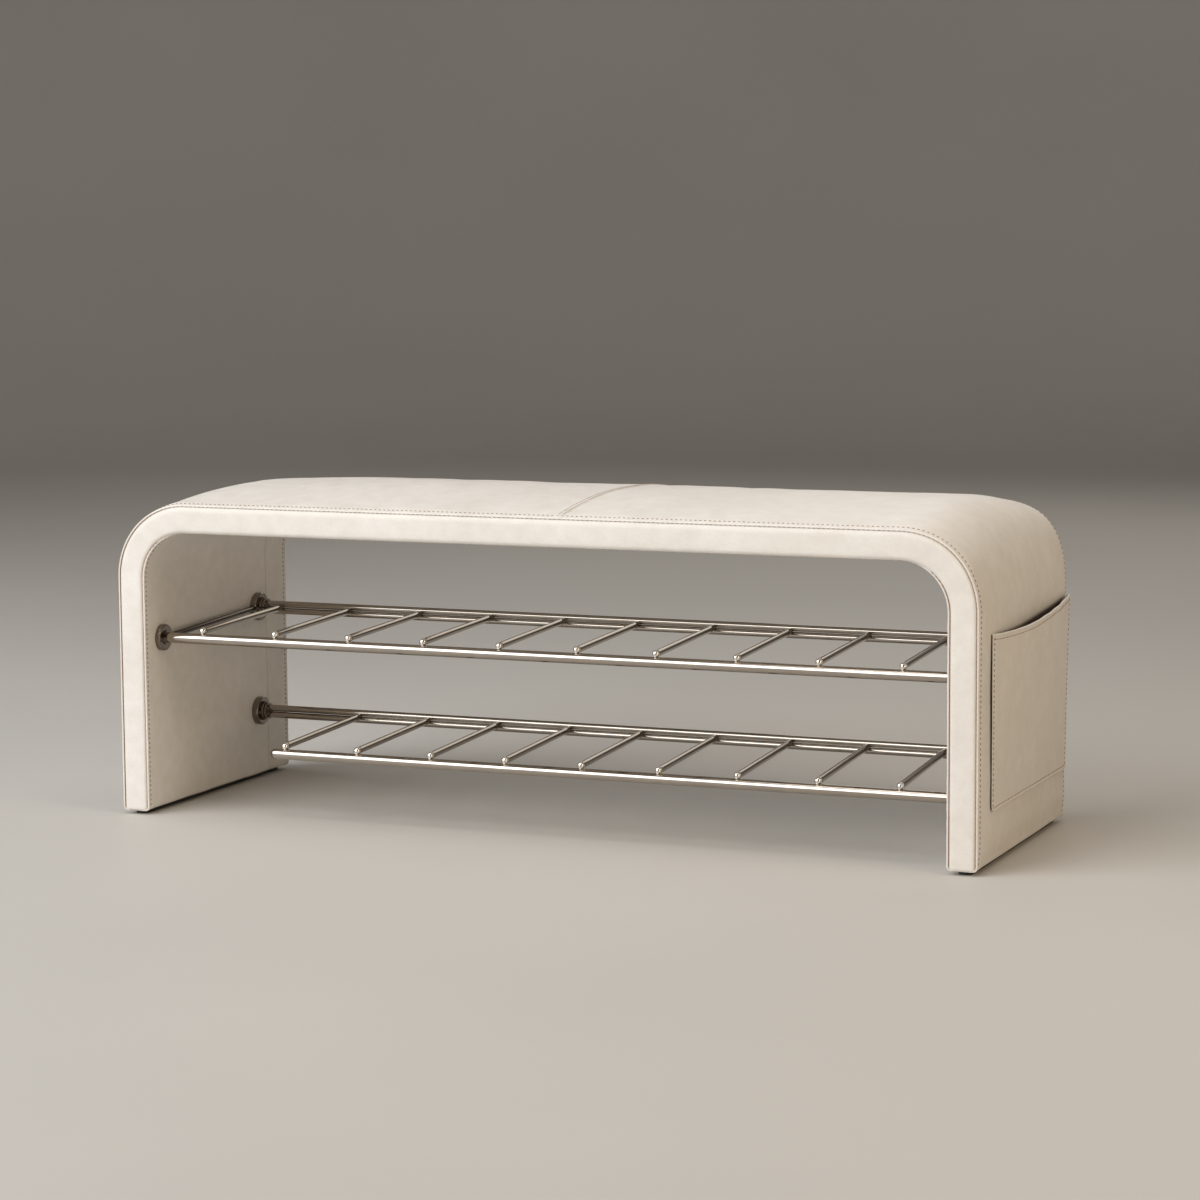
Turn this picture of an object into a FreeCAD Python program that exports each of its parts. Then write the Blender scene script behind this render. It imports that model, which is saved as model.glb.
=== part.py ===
"""Shoe bench: a leather-covered arch with two metal shoe shelves and a side pocket. Millimetres.

The origin is on the floor under the middle of the bench. +X runs along the bench, +Y to its back, +Z up.
"""
import FreeCAD
import Part

import math
import os

# Overall sizes. The seam line is where the outer cover meets the front and back bands.
LENGTH = 1200.0
DEPTH = 400.0
SEAM_HEIGHT = 421.0
SEAT_CROWN = 19.0
SIDE_SWELL = 3.0
BAND_PUFF = 2.0
FOOT_HEIGHT = 6.0
OUTER_RADIUS = 100.0

# Layers of the arch, from the outside inwards
LEATHER = 1.5
OUTER_FOAM = 6.0
BOARD = 25.0
INNER_FOAM = 4.0
EDGE_FOAM = 4.0
LAYER_GAP = 0.2

# Shape of the crown across the depth
SEAT_SHOULDER = 60.0
SEAT_SHOULDER_RISE = 13.5
SIDE_SHOULDER = 10.0
SIDE_SHOULDER_RISE = 2.4
CORNER_STATIONS = 16
CORNER_EASE = 4

# Panel seams
CROSS_SEAM_X = 45.0
LINING_SEAM_FROM_BACK = 60.0

# Side pocket on the right leg
POCKET_FRONT_INSET = 41.0
POCKET_REAR_INSET = 8.0
POCKET_BOTTOM = 73.0
POCKET_FRONT_TOP = 296.0
POCKET_REAR_TOP = 304.0
POCKET_DIP = 6.0
POCKET_GAPE = 11.0
POCKET_LEATHER = 2.0
POCKET_SEWN_GAPE = 0.3

# Shelves
RAIL_FROM_FRONT = 46.0
REAR_RAIL_FROM_FRONT = 312.0
UPPER_RAIL_HEIGHT = 236.5
LOWER_RAIL_HEIGHT = 87.0
FRONT_RAIL_DIAMETER = 14.0
FRONT_RAIL_WALL = 1.5
REAR_RAIL_DIAMETER = 9.0
REAR_RAIL_SPACING = 9.5
END_ROD_DIAMETER = 8.0
END_ROD_STANDOFF = 5.0
SLAT_DIAMETER = 9.0
BALL_DIAMETER = 9.8
NECK_DIAMETER = 7.2
NECK_WIDTH = 1.0
SLAT_SEAT = 0.5
SLAT_SHORT_OF_REAR = 2.0
SLAT_SKEW = 24.0
UPPER_FIRST_SLAT_X = -495.0
UPPER_SLAT_PITCH = 109.3
UPPER_SLAT_COUNT = 10
LOWER_FIRST_SLAT_X = -373.0
LOWER_SLAT_PITCH = 107.3
LOWER_SLAT_COUNT = 9
FREE_END_OVERHANG = 15.0

# Flanges
FRONT_FLANGE_DIAMETER = 36.0
FRONT_FLANGE_THICKNESS = 7.0
FRONT_COLLAR_DIAMETER = 19.0
FRONT_COLLAR_LENGTH = 2.5
REAR_FLANGE_DIAMETER = 40.0
REAR_FLANGE_THICKNESS = 9.0
HUB_DIAMETER = 27.0
HUB_LENGTH = 5.0
TIP_DIAMETER = 23.5
TIP_LENGTH = 4.0
RIM_ROUND = 2.2
FRONT_SOCKET = 6.5
REAR_SOCKET = 8.0

# Fasteners
STUD_DIAMETER = 6.0
STUD_IN_BOARD = 20.0
STUD_IN_PLUG = 12.0
STUD_IN_HUB = 8.0
INSERT_DIAMETER = 10.0
PLUG_LENGTH = 20.0
DOWEL_DIAMETER = 8.0
DOWEL_LENGTH = 40.0
DOWEL_PLACES = (-130.0, 0.0, 130.0)

# Foot runners
RUNNER_WIDTH = 18.0
RUNNER_LENGTH = 380.0
RUNNER_SCREW_PLACES = (-150.0, -50.0, 50.0, 150.0)
SCREW_SHANK = 4.0
SCREW_HEAD = 8.0
SCREW_HEAD_DEPTH = 2.4
SCREW_RECESS = 1.2
SCREW_LENGTH = 24.0

# Worked-out places
SHELL = LEATHER + OUTER_FOAM + BOARD + INNER_FOAM + LEATHER
HALF_LENGTH = LENGTH / 2 - SIDE_SWELL
SEAM_Y = DEPTH / 2 - BAND_PUFF
BOARD_Y = SEAM_Y - LEATHER - EDGE_FOAM
CORNER_X = HALF_LENGTH - OUTER_RADIUS
CORNER_Z = SEAM_HEIGHT - OUTER_RADIUS
BOARD_TOP = LEATHER + OUTER_FOAM
BOARD_BOTTOM = BOARD_TOP + BOARD
BOARD_MIDDLE = BOARD_TOP + BOARD / 2
INNER_FACE_X = HALF_LENGTH - SHELL
LEG_CENTRE_X = HALF_LENGTH - SHELL / 2
FRONT_RAIL_Y = -DEPTH / 2 + RAIL_FROM_FRONT
REAR_RAIL_Y = -DEPTH / 2 + REAR_RAIL_FROM_FRONT
SLAT_RISE = (FRONT_RAIL_DIAMETER + SLAT_DIAMETER) / 2 - SLAT_SEAT
LINING_SEAM_Y = DEPTH / 2 - LINING_SEAM_FROM_BACK

X_AXIS = FreeCAD.Vector(1, 0, 0)
Y_AXIS = FreeCAD.Vector(0, 1, 0)
Z_AXIS = FreeCAD.Vector(0, 0, 1)


def vec(x, y, z):
    return FreeCAD.Vector(x, y, z)


def box(x0, x1, y0, y1, z0, z1):
    return Part.makeBox(x1 - x0, y1 - y0, z1 - z0, vec(x0, y0, z0))


def rod(start, end, diameter):
    run = end.sub(start)
    return Part.makeCylinder(diameter / 2, run.Length, start, run)


def mirrored(shape):
    return shape.mirror(vec(0, 0, 0), X_AXIS)


def joined(shapes):
    return shapes[0].fuse(shapes[1:]).removeSplitter()


def without(shape, cutters):
    return shape.cut(Part.makeCompound(cutters))


# Sections of the arch. A section is drawn in (y, height) with height 0 on the outer seam line,
# and stands at a turn around the corner: 0 degrees is the seat end, 90 degrees the leg end.

def at_turn(y, height, turn):
    reach = OUTER_RADIUS + height
    return vec(
        CORNER_X + reach * math.sin(math.radians(turn)), y, CORNER_Z + reach * math.cos(math.radians(turn))
    )


def blend(seat_value, side_value, turn):
    """A value that eases from the seat to the leg around the corner."""
    share = math.cos(math.radians(turn)) ** CORNER_EASE
    return side_value + (seat_value - side_value) * share


def crown_points(turn, drop):
    """Points of the crowned outer line across the depth, lowered by drop: seam, shoulder, middle and back."""
    crown = blend(SEAT_CROWN, SIDE_SWELL, turn)
    shoulder = blend(SEAT_SHOULDER, SIDE_SHOULDER, turn)
    rise = blend(SEAT_SHOULDER_RISE, SIDE_SHOULDER_RISE, turn)
    inner_y = SEAM_Y - shoulder
    # The shoulder arc leaves the crown arc without a kink, so its end slope fixes its middle point.
    end_slope = 2 * math.atan2(crown - rise, inner_y)
    chord_slope = math.atan2(rise, shoulder)
    bow = math.hypot(shoulder, rise) / 2 * math.tan((chord_slope - end_slope) / 2)
    mid_y = SEAM_Y - shoulder / 2 + bow * math.sin(chord_slope)
    mid_rise = rise / 2 + bow * math.cos(chord_slope)
    half = [(SEAM_Y, 0.0), (mid_y, mid_rise), (inner_y, rise)]
    front = [(-y, h - drop) for y, h in half]
    back = [(y, h - drop) for y, h in reversed(half)]
    return front + [(0.0, crown - drop)] + back


def crown_edges(turn, drop):
    """The three arcs across the depth, front to back."""
    points = [at_turn(y, height, turn) for y, height in crown_points(turn, drop)]
    return [Part.Arc(*points[i : i + 3]).toShape() for i in (0, 2, 4)]


def line(a, b):
    return Part.LineSegment(a, b).toShape()


def closed_wire(edges):
    return Part.Wire(Part.__sortEdges__(edges))


def cover_wire(turn):
    upper = crown_edges(turn, 0.0)
    lower = crown_edges(turn, LEATHER)
    ends = [line(at_turn(y, 0.0, turn), at_turn(y, -LEATHER, turn)) for y in (-SEAM_Y, SEAM_Y)]
    return closed_wire(upper + [ends[1]] + lower[::-1] + [ends[0]])


def foam_wire(turn):
    """Foam under the cover: full depth at the top, and only as deep as the board lower down."""
    skin = LEATHER + LAYER_GAP
    upper = crown_edges(turn, skin)
    steps = [(SEAM_Y, -skin), (BOARD_Y, -skin), (BOARD_Y, LAYER_GAP - BOARD_TOP)]
    outline = steps + [(-y, height) for y, height in reversed(steps)]
    corners = [at_turn(y, height, turn) for y, height in outline]
    lower = [line(a, b) for a, b in zip(corners, corners[1:])]
    return closed_wire(upper + lower)


def moved(wire, x, z):
    copy = wire.copy()
    copy.translate(vec(x, 0, z))
    return copy


def run_of(section, seat_end_x, leg_end_z):
    """A right-hand stretch of the arch, from a place on the seat round the corner and down the leg."""
    turns = [90.0 * i / (CORNER_STATIONS - 1) for i in range(CORNER_STATIONS)]
    wires = [section(turn) for turn in turns]
    if seat_end_x < CORNER_X:
        wires.insert(0, moved(wires[0], seat_end_x - CORNER_X, 0))
    wires.append(moved(wires[-1], 0, leg_end_z - CORNER_Z))
    return Part.makeLoft(wires, True, True)


def arch(profile):
    """A strip of one section all along the arch. The profile is (y, height) points, or three for an arc."""
    edges = []
    for part in profile:
        points = [at_turn(y, height, 0.0) for y, height in part]
        edges.append(line(*points) if len(points) == 2 else Part.Arc(*points).toShape())
    face = Part.Face(closed_wire(edges))
    corner = face.revolve(vec(CORNER_X, 0, CORNER_Z), Y_AXIS, 90)
    leg_face = face.copy()
    leg_face.rotate(vec(CORNER_X, 0, CORNER_Z), Y_AXIS, 90)
    leg = leg_face.extrude(vec(0, 0, FOOT_HEIGHT - CORNER_Z))
    seat = face.extrude(vec(-2 * CORNER_X, 0, 0))
    return joined([seat, corner, leg, mirrored(corner), mirrored(leg)])


def sheet_profile(y0, y1, top, bottom):
    corners = [(y0, -top), (y1, -top), (y1, -bottom), (y0, -bottom)]
    return list(zip(corners, corners[1:] + corners[:1]))


def puffed_profile(side, near, far, far_is_puffed):
    """A strip behind the front (side -1) or back (side +1) edge, between two depths from the seam plane."""
    top = LEATHER + 2 * LAYER_GAP
    bottom = SHELL - LEATHER
    middle = (top + bottom) / 2

    def across(inset, puffed):
        y = side * (SEAM_Y - inset)
        puff = side * BAND_PUFF if puffed else 0.0
        ends = [(y, -top), (y, -bottom)]
        return [ends[0], (y + puff, -middle), ends[1]] if puffed else ends

    outer = across(near, True)
    inner = across(far, far_is_puffed)
    return [outer, inner, [outer[0], inner[0]], [outer[-1], inner[-1]]]


# Timber frame

def dowels():
    pegs = []
    for y in DOWEL_PLACES:
        for side in (-1, 1):
            seat_joint = vec(side * CORNER_X - DOWEL_LENGTH / 2, y, SEAM_HEIGHT - BOARD_MIDDLE)
            pegs.append(Part.makeCylinder(DOWEL_DIAMETER / 2, DOWEL_LENGTH, seat_joint, X_AXIS))
            leg_joint = vec(side * (HALF_LENGTH - BOARD_MIDDLE), y, CORNER_Z - DOWEL_LENGTH / 2)
            pegs.append(Part.makeCylinder(DOWEL_DIAMETER / 2, DOWEL_LENGTH, leg_joint, Z_AXIS))
    return pegs


def corner_block():
    outer = OUTER_RADIUS - BOARD_TOP
    inner = OUTER_RADIUS - BOARD_BOTTOM
    start = box(
        CORNER_X - 1, CORNER_X, -BOARD_Y, BOARD_Y, CORNER_Z + inner, CORNER_Z + outer
    ).Faces
    end_face = max(start, key=lambda face: face.CenterOfMass.x)
    return end_face.revolve(vec(CORNER_X, 0, CORNER_Z), Y_AXIS, 90)


def timber(fixings):
    pegs = dowels()
    seat = box(
        -CORNER_X, CORNER_X, -BOARD_Y, BOARD_Y, SEAM_HEIGHT - BOARD_BOTTOM, SEAM_HEIGHT - BOARD_TOP
    )
    leg = box(
        HALF_LENGTH - BOARD_BOTTOM, HALF_LENGTH - BOARD_TOP, -BOARD_Y, BOARD_Y, FOOT_HEIGHT, CORNER_Z
    )
    block = corner_block()
    return {
        "seat_board": without(seat, pegs),
        "left_corner_block": without(mirrored(block), pegs),
        "right_corner_block": without(block, pegs),
        "left_leg_board": without(mirrored(leg), pegs + fixings),
        "right_leg_board": without(leg, pegs + fixings),
        "frame_dowels": Part.makeCompound(pegs),
    }


# Padding and leather

def padding(studs):
    side = run_of(foam_wire, CORNER_X, FOOT_HEIGHT)
    seat = Part.Face(foam_wire(0.0)).extrude(vec(-2 * CORNER_X, 0, 0))
    inner = arch(sheet_profile(-BOARD_Y, BOARD_Y, BOARD_BOTTOM, BOARD_BOTTOM + INNER_FOAM))
    behind = LEATHER + EDGE_FOAM
    return {
        "seat_foam": seat,
        "left_side_foam": mirrored(side),
        "right_side_foam": side,
        "lining_foam": without(inner, studs),
        "front_edge_foam": arch(puffed_profile(-1, LEATHER, behind, False)),
        "back_edge_foam": arch(puffed_profile(1, LEATHER, behind, False)),
    }


def pocket_wire(height):
    """Level section of the pocket panel: an arc that stands off the leg most in the middle."""
    front = -SEAM_Y + POCKET_FRONT_INSET
    rear = SEAM_Y - POCKET_REAR_INSET
    share = (height - POCKET_BOTTOM) / (POCKET_REAR_TOP - POCKET_BOTTOM)
    gape = POCKET_SEWN_GAPE + (POCKET_GAPE - POCKET_SEWN_GAPE) * share
    face_x = HALF_LENGTH + SIDE_SWELL + LAYER_GAP

    def arc(extra):
        x = face_x + extra
        ends = vec(x, front, height), vec(x, rear, height)
        return Part.Arc(ends[0], vec(x + gape, (front + rear) / 2, height), ends[1]).toShape(), ends

    inner, inner_ends = arc(0.0)
    outer, outer_ends = arc(POCKET_LEATHER)
    sides = [line(a, b) for a, b in zip(inner_ends, outer_ends)]
    return closed_wire([inner, outer] + sides)


def pocket():
    levels = [POCKET_BOTTOM, (POCKET_BOTTOM + POCKET_REAR_TOP) / 2, POCKET_REAR_TOP]
    panel = Part.makeLoft([pocket_wire(level) for level in levels], True, False)
    front = -SEAM_Y + POCKET_FRONT_INSET
    rear = SEAM_Y - POCKET_REAR_INSET
    middle_top = (POCKET_FRONT_TOP + POCKET_REAR_TOP) / 2 - POCKET_DIP
    above = POCKET_REAR_TOP + POCKET_DIP
    dip = Part.Arc(
        vec(HALF_LENGTH, front, POCKET_FRONT_TOP),
        vec(HALF_LENGTH, (front + rear) / 2, middle_top),
        vec(HALF_LENGTH, rear, POCKET_REAR_TOP),
    ).toShape()
    corners = [
        vec(HALF_LENGTH, rear, POCKET_REAR_TOP),
        vec(HALF_LENGTH, rear, above),
        vec(HALF_LENGTH, front, above),
        vec(HALF_LENGTH, front, POCKET_FRONT_TOP),
    ]
    rim = [line(a, b) for a, b in zip(corners, corners[1:])]
    mouth = Part.Face(closed_wire([dip] + rim)).extrude(vec(OUTER_RADIUS, 0, 0))
    return panel.cut(mouth)


def leather(studs):
    right = run_of(cover_wire, CROSS_SEAM_X, FOOT_HEIGHT)
    left = mirrored(run_of(cover_wire, -CROSS_SEAM_X, FOOT_HEIGHT))
    lining_top = SHELL - LEATHER
    main = arch(sheet_profile(-SEAM_Y, LINING_SEAM_Y, lining_top, SHELL))
    rear = arch(sheet_profile(LINING_SEAM_Y, SEAM_Y, lining_top, SHELL))
    return {
        "left_cover": left,
        "right_cover": right,
        "front_band": arch(puffed_profile(-1, 0.0, LEATHER, True)),
        "back_band": arch(puffed_profile(1, 0.0, LEATHER, True)),
        "lining_main": without(main, studs),
        "lining_rear": rear,
        "side_pocket": pocket(),
    }


# Shelves

def turned(profile, side, y, height):
    """A turned piece on the inner face of a leg. The profile is (distance from the leg, radius) points."""
    points = [vec(side * (INNER_FACE_X - out), y, height + radius) for out, radius in profile]
    face = Part.Face(Part.makePolygon(points + points[:1]))
    return face.revolve(vec(0, y, height), X_AXIS, 360)


def rounded_rim(solid, diameter):
    """The outer rim edge of a flange, away from the leg, is rounded over."""
    def is_rim(edge):
        curve = edge.Curve
        return isinstance(curve, Part.Circle) and abs(curve.Radius - diameter / 2) < 1e-6

    rims = [edge for edge in solid.Edges if is_rim(edge)]
    rim = min(rims, key=lambda edge: abs(edge.CenterOfMass.x))
    return solid.makeFillet(RIM_ROUND, [rim])


def front_flange(side, height):
    collar_end = FRONT_FLANGE_THICKNESS + FRONT_COLLAR_LENGTH
    profile = [
        (0.0, 0.0),
        (0.0, FRONT_FLANGE_DIAMETER / 2),
        (FRONT_FLANGE_THICKNESS, FRONT_FLANGE_DIAMETER / 2),
        (FRONT_FLANGE_THICKNESS, FRONT_COLLAR_DIAMETER / 2),
        (collar_end, FRONT_COLLAR_DIAMETER / 2),
        (collar_end, 0.0),
    ]
    return rounded_rim(turned(profile, side, FRONT_RAIL_Y, height), FRONT_FLANGE_DIAMETER)


def rear_flange(side, height):
    hub_end = REAR_FLANGE_THICKNESS + HUB_LENGTH
    tip_end = hub_end + TIP_LENGTH
    profile = [
        (0.0, 0.0),
        (0.0, REAR_FLANGE_DIAMETER / 2),
        (REAR_FLANGE_THICKNESS, REAR_FLANGE_DIAMETER / 2),
        (REAR_FLANGE_THICKNESS, HUB_DIAMETER / 2),
        (hub_end, HUB_DIAMETER / 2),
        (hub_end, TIP_DIAMETER / 2),
        (tip_end, TIP_DIAMETER / 2),
        (tip_end, 0.0),
    ]
    return rounded_rim(turned(profile, side, REAR_RAIL_Y, height), REAR_FLANGE_DIAMETER)


FRONT_RAIL_END = FRONT_FLANGE_THICKNESS + FRONT_COLLAR_LENGTH - FRONT_SOCKET
REAR_RAIL_END = REAR_FLANGE_THICKNESS + HUB_LENGTH + TIP_LENGTH - REAR_SOCKET


def solid_front_rail(rail_height, left_end):
    right_end = INNER_FACE_X - FRONT_RAIL_END
    return rod(vec(left_end, FRONT_RAIL_Y, rail_height), vec(right_end, FRONT_RAIL_Y, rail_height),
               FRONT_RAIL_DIAMETER)


def front_rail_bore(rail_height, left_end):
    right_end = INNER_FACE_X - FRONT_RAIL_END
    bore = FRONT_RAIL_DIAMETER - 2 * FRONT_RAIL_WALL
    return rod(vec(left_end, FRONT_RAIL_Y, rail_height), vec(right_end, FRONT_RAIL_Y, rail_height), bore)


def rear_rail(height):
    reach = INNER_FACE_X - REAR_RAIL_END
    return rod(vec(-reach, REAR_RAIL_Y, height), vec(reach, REAR_RAIL_Y, height), REAR_RAIL_DIAMETER)


def rail_plug(side, height):
    outer = INNER_FACE_X - FRONT_RAIL_END
    bore = FRONT_RAIL_DIAMETER - 2 * FRONT_RAIL_WALL
    inner_end = vec(side * (outer - PLUG_LENGTH), FRONT_RAIL_Y, height)
    outer_end = vec(side * outer, FRONT_RAIL_Y, height)
    return rod(inner_end, outer_end, bore)


def end_cap(left_end, height):
    """Domed cap in the free end of the lower rail, with a spigot inside the tube."""
    radius = FRONT_RAIL_DIAMETER / 2
    spigot = radius - FRONT_RAIL_WALL
    centre = vec(left_end, FRONT_RAIL_Y, height)
    tip = vec(left_end - radius, FRONT_RAIL_Y, height)
    shoulder = vec(left_end, FRONT_RAIL_Y, height + radius)
    slope = radius * math.sqrt(0.5)
    dome = Part.Arc(tip, vec(left_end - slope, FRONT_RAIL_Y, height + slope), shoulder).toShape()
    quarter = Part.Face(closed_wire([dome, line(shoulder, centre), line(centre, tip)]))
    cap = quarter.revolve(centre, X_AXIS, 360)
    stem = rod(centre, vec(left_end + PLUG_LENGTH, FRONT_RAIL_Y, height), 2 * spigot)
    return joined([cap, stem])


def slat(x, height, cutters):
    """A rod from its ball tip over the front rail, back and a little left to the notch of the rear rails."""
    ball = BALL_DIAMETER / 2
    neck = NECK_DIAMETER / 2
    body = SLAT_DIAMETER / 2
    neck_start = math.sqrt(ball**2 - neck**2)
    neck_end = neck_start + NECK_WIDTH
    run = REAR_RAIL_Y - SLAT_SHORT_OF_REAR - FRONT_RAIL_Y
    length = math.hypot(run, SLAT_SKEW)

    def point(along, radius):
        return vec(x, FRONT_RAIL_Y + along, height + radius)

    tip = point(-ball, 0.0)
    dome = Part.Arc(tip, point(0.0, ball), point(neck_start, neck)).toShape()
    outline = [
        point(neck_start, neck),
        point(neck_end, neck),
        point(neck_end, body),
        point(length, body),
        point(length, 0.0),
        tip,
    ]
    edges = [dome] + [line(a, b) for a, b in zip(outline, outline[1:])]
    whole = Part.Face(closed_wire(edges)).revolve(vec(x, 0, height), Y_AXIS, 360)
    whole.rotate(vec(x, FRONT_RAIL_Y, height), Z_AXIS, math.degrees(math.atan2(SLAT_SKEW, run)))
    return max(without(whole, cutters).Solids, key=lambda solid: solid.Volume)


def end_rod(flanges):
    """Short rod along the left leg, from the front flange to the rear flange of the upper shelf."""
    x = -INNER_FACE_X + END_ROD_STANDOFF
    start = vec(x, FRONT_RAIL_Y, UPPER_RAIL_HEIGHT)
    end = vec(x, REAR_RAIL_Y, UPPER_RAIL_HEIGHT + SLAT_RISE)
    pieces = without(rod(start, end, END_ROD_DIAMETER), flanges).Solids
    return max(pieces, key=lambda solid: solid.Volume)


def studs_and_inserts():
    """Flange studs with the threaded inserts that hold them in the leg boards."""
    board_x = HALF_LENGTH - BOARD_BOTTOM
    studs = []
    inserts = []
    for name, side, y, height in FLANGE_PLACES:
        out = FRONT_RAIL_END + STUD_IN_PLUG if "front" in name else STUD_IN_HUB
        inner_end = vec(side * (INNER_FACE_X - out), y, height)
        board_end = vec(side * (board_x + STUD_IN_BOARD), y, height)
        stud = rod(inner_end, board_end, STUD_DIAMETER)
        sleeve = rod(vec(side * board_x, y, height), board_end, INSERT_DIAMETER)
        studs.append(stud)
        inserts.append(sleeve.cut(stud))
    return studs, inserts


LOWER_LEFT_END = LOWER_FIRST_SLAT_X - FREE_END_OVERHANG
UPPER_LEFT_END = -(INNER_FACE_X - FRONT_RAIL_END)
UPPER_SLAT_HEIGHT = UPPER_RAIL_HEIGHT + SLAT_RISE
LOWER_SLAT_HEIGHT = LOWER_RAIL_HEIGHT + SLAT_RISE
UPPER_SLAT_PLACES = [UPPER_FIRST_SLAT_X + i * UPPER_SLAT_PITCH for i in range(UPPER_SLAT_COUNT)]
LOWER_SLAT_PLACES = [LOWER_FIRST_SLAT_X + i * LOWER_SLAT_PITCH for i in range(LOWER_SLAT_COUNT)]
FLANGE_PLACES = (
    ("upper_front_left_flange", -1, FRONT_RAIL_Y, UPPER_RAIL_HEIGHT),
    ("upper_front_right_flange", 1, FRONT_RAIL_Y, UPPER_RAIL_HEIGHT),
    ("upper_rear_left_flange", -1, REAR_RAIL_Y, UPPER_SLAT_HEIGHT),
    ("upper_rear_right_flange", 1, REAR_RAIL_Y, UPPER_SLAT_HEIGHT),
    ("lower_front_right_flange", 1, FRONT_RAIL_Y, LOWER_RAIL_HEIGHT),
    ("lower_rear_left_flange", -1, REAR_RAIL_Y, LOWER_SLAT_HEIGHT),
    ("lower_rear_right_flange", 1, REAR_RAIL_Y, LOWER_SLAT_HEIGHT),
)


def shelf(level, rail_height, left_end, slat_places):
    """Rails and slats of one shelf, with the solid rails that cut the flange sockets."""
    slat_height = rail_height + SLAT_RISE
    front = solid_front_rail(rail_height, left_end)
    top = rear_rail(slat_height + REAR_RAIL_SPACING / 2)
    bottom = rear_rail(slat_height - REAR_RAIL_SPACING / 2)
    nodes = {
        f"{level}_front_rail": front.cut(front_rail_bore(rail_height, left_end)),
        f"{level}_rear_top_rail": top,
        f"{level}_rear_bottom_rail": bottom,
    }
    for number, x in enumerate(slat_places, start=1):
        nodes[f"{level}_slat_{number:02d}"] = slat(x, slat_height, [front, top, bottom])
    return nodes, [front, top, bottom]


def shelves(studs):
    upper, upper_rails = shelf("upper", UPPER_RAIL_HEIGHT, UPPER_LEFT_END, UPPER_SLAT_PLACES)
    lower, lower_rails = shelf("lower", LOWER_RAIL_HEIGHT, LOWER_LEFT_END, LOWER_SLAT_PLACES)
    plain_flanges = {}
    for name, side, y, height in FLANGE_PLACES:
        make = front_flange if "front" in name else rear_flange
        plain_flanges[name] = make(side, height)
    nodes = {**upper, **lower}
    nodes["upper_end_rod"] = end_rod(list(plain_flanges.values()))
    for name, blank in plain_flanges.items():
        nodes[name] = without(blank, upper_rails + lower_rails + studs)
    plugs = [
        rail_plug(-1, UPPER_RAIL_HEIGHT),
        rail_plug(1, UPPER_RAIL_HEIGHT),
        rail_plug(1, LOWER_RAIL_HEIGHT),
    ]
    nodes["rail_end_plugs"] = Part.makeCompound([without(plug, studs) for plug in plugs])
    nodes["lower_rail_end_cap"] = end_cap(LOWER_LEFT_END, LOWER_RAIL_HEIGHT)
    return nodes


# Feet

def runner_screw(side, y):
    x = side * LEG_CENTRE_X
    head = Part.makeCone(SCREW_HEAD / 2, SCREW_SHANK / 2, SCREW_HEAD_DEPTH, vec(x, y, SCREW_RECESS))
    shank = rod(vec(x, y, SCREW_RECESS), vec(x, y, SCREW_RECESS + SCREW_LENGTH), SCREW_SHANK)
    return joined([head, shank])


def runner(side, screws):
    x = side * LEG_CENTRE_X
    half = RUNNER_WIDTH / 2
    straight = RUNNER_LENGTH / 2 - half
    bar = box(x - half, x + half, -straight, straight, 0.0, FOOT_HEIGHT)
    ends = [Part.makeCylinder(half, FOOT_HEIGHT, vec(x, y, 0.0)) for y in (-straight, straight)]
    wells = [
        Part.makeCylinder(SCREW_HEAD / 2, SCREW_RECESS, vec(x, y, 0.0)) for y in RUNNER_SCREW_PLACES
    ]
    return without(joined([bar] + ends), screws + wells)


def feet():
    screws = {side: [runner_screw(side, y) for y in RUNNER_SCREW_PLACES] for side in (-1, 1)}
    every = screws[-1] + screws[1]
    nodes = {
        "left_foot_runner": runner(-1, screws[-1]),
        "right_foot_runner": runner(1, screws[1]),
        "foot_screws": Part.makeCompound(every),
    }
    return nodes, every


def bench():
    studs, inserts = studs_and_inserts()
    foot_nodes, screws = feet()
    nodes = {}
    nodes.update(timber(studs + inserts + screws))
    nodes.update(padding(studs))
    nodes.update(leather(studs))
    nodes.update(shelves(studs))
    nodes.update(foot_nodes)
    nodes["flange_studs"] = Part.makeCompound(studs)
    nodes["stud_inserts"] = Part.makeCompound(inserts)
    return nodes


os.makedirs("parts", exist_ok=True)
for name, shape in bench().items():
    if not shape.Solids or not shape.isValid():
        raise ValueError(f"{name} is not a valid solid")
    shape.exportStep(f"parts/{name}.step")
    print(f"{name}: {len(shape.Solids)} solid(s), {shape.Volume / 1000:.1f} cm3")
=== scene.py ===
"""Shoe bench: leather, stitching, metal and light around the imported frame.

Metres. +X runs along the bench, +Y to its back, +Z up, with the origin on the floor under its middle.
"""

import math

import bpy
import numpy as np
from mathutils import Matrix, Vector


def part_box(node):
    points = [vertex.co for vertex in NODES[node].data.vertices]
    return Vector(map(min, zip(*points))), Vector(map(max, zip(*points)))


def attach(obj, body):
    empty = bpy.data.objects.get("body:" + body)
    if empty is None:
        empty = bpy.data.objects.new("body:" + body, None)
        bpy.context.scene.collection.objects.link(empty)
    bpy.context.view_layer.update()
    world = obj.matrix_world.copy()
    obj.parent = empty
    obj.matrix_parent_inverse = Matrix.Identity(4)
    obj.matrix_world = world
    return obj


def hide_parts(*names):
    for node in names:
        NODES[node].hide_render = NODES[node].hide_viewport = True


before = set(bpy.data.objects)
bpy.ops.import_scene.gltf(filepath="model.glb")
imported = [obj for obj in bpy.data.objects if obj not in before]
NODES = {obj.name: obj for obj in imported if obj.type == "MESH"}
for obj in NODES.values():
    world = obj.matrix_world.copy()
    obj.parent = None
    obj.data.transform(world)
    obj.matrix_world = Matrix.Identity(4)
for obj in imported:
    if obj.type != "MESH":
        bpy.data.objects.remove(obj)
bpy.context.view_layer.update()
MM = 0.001

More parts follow.
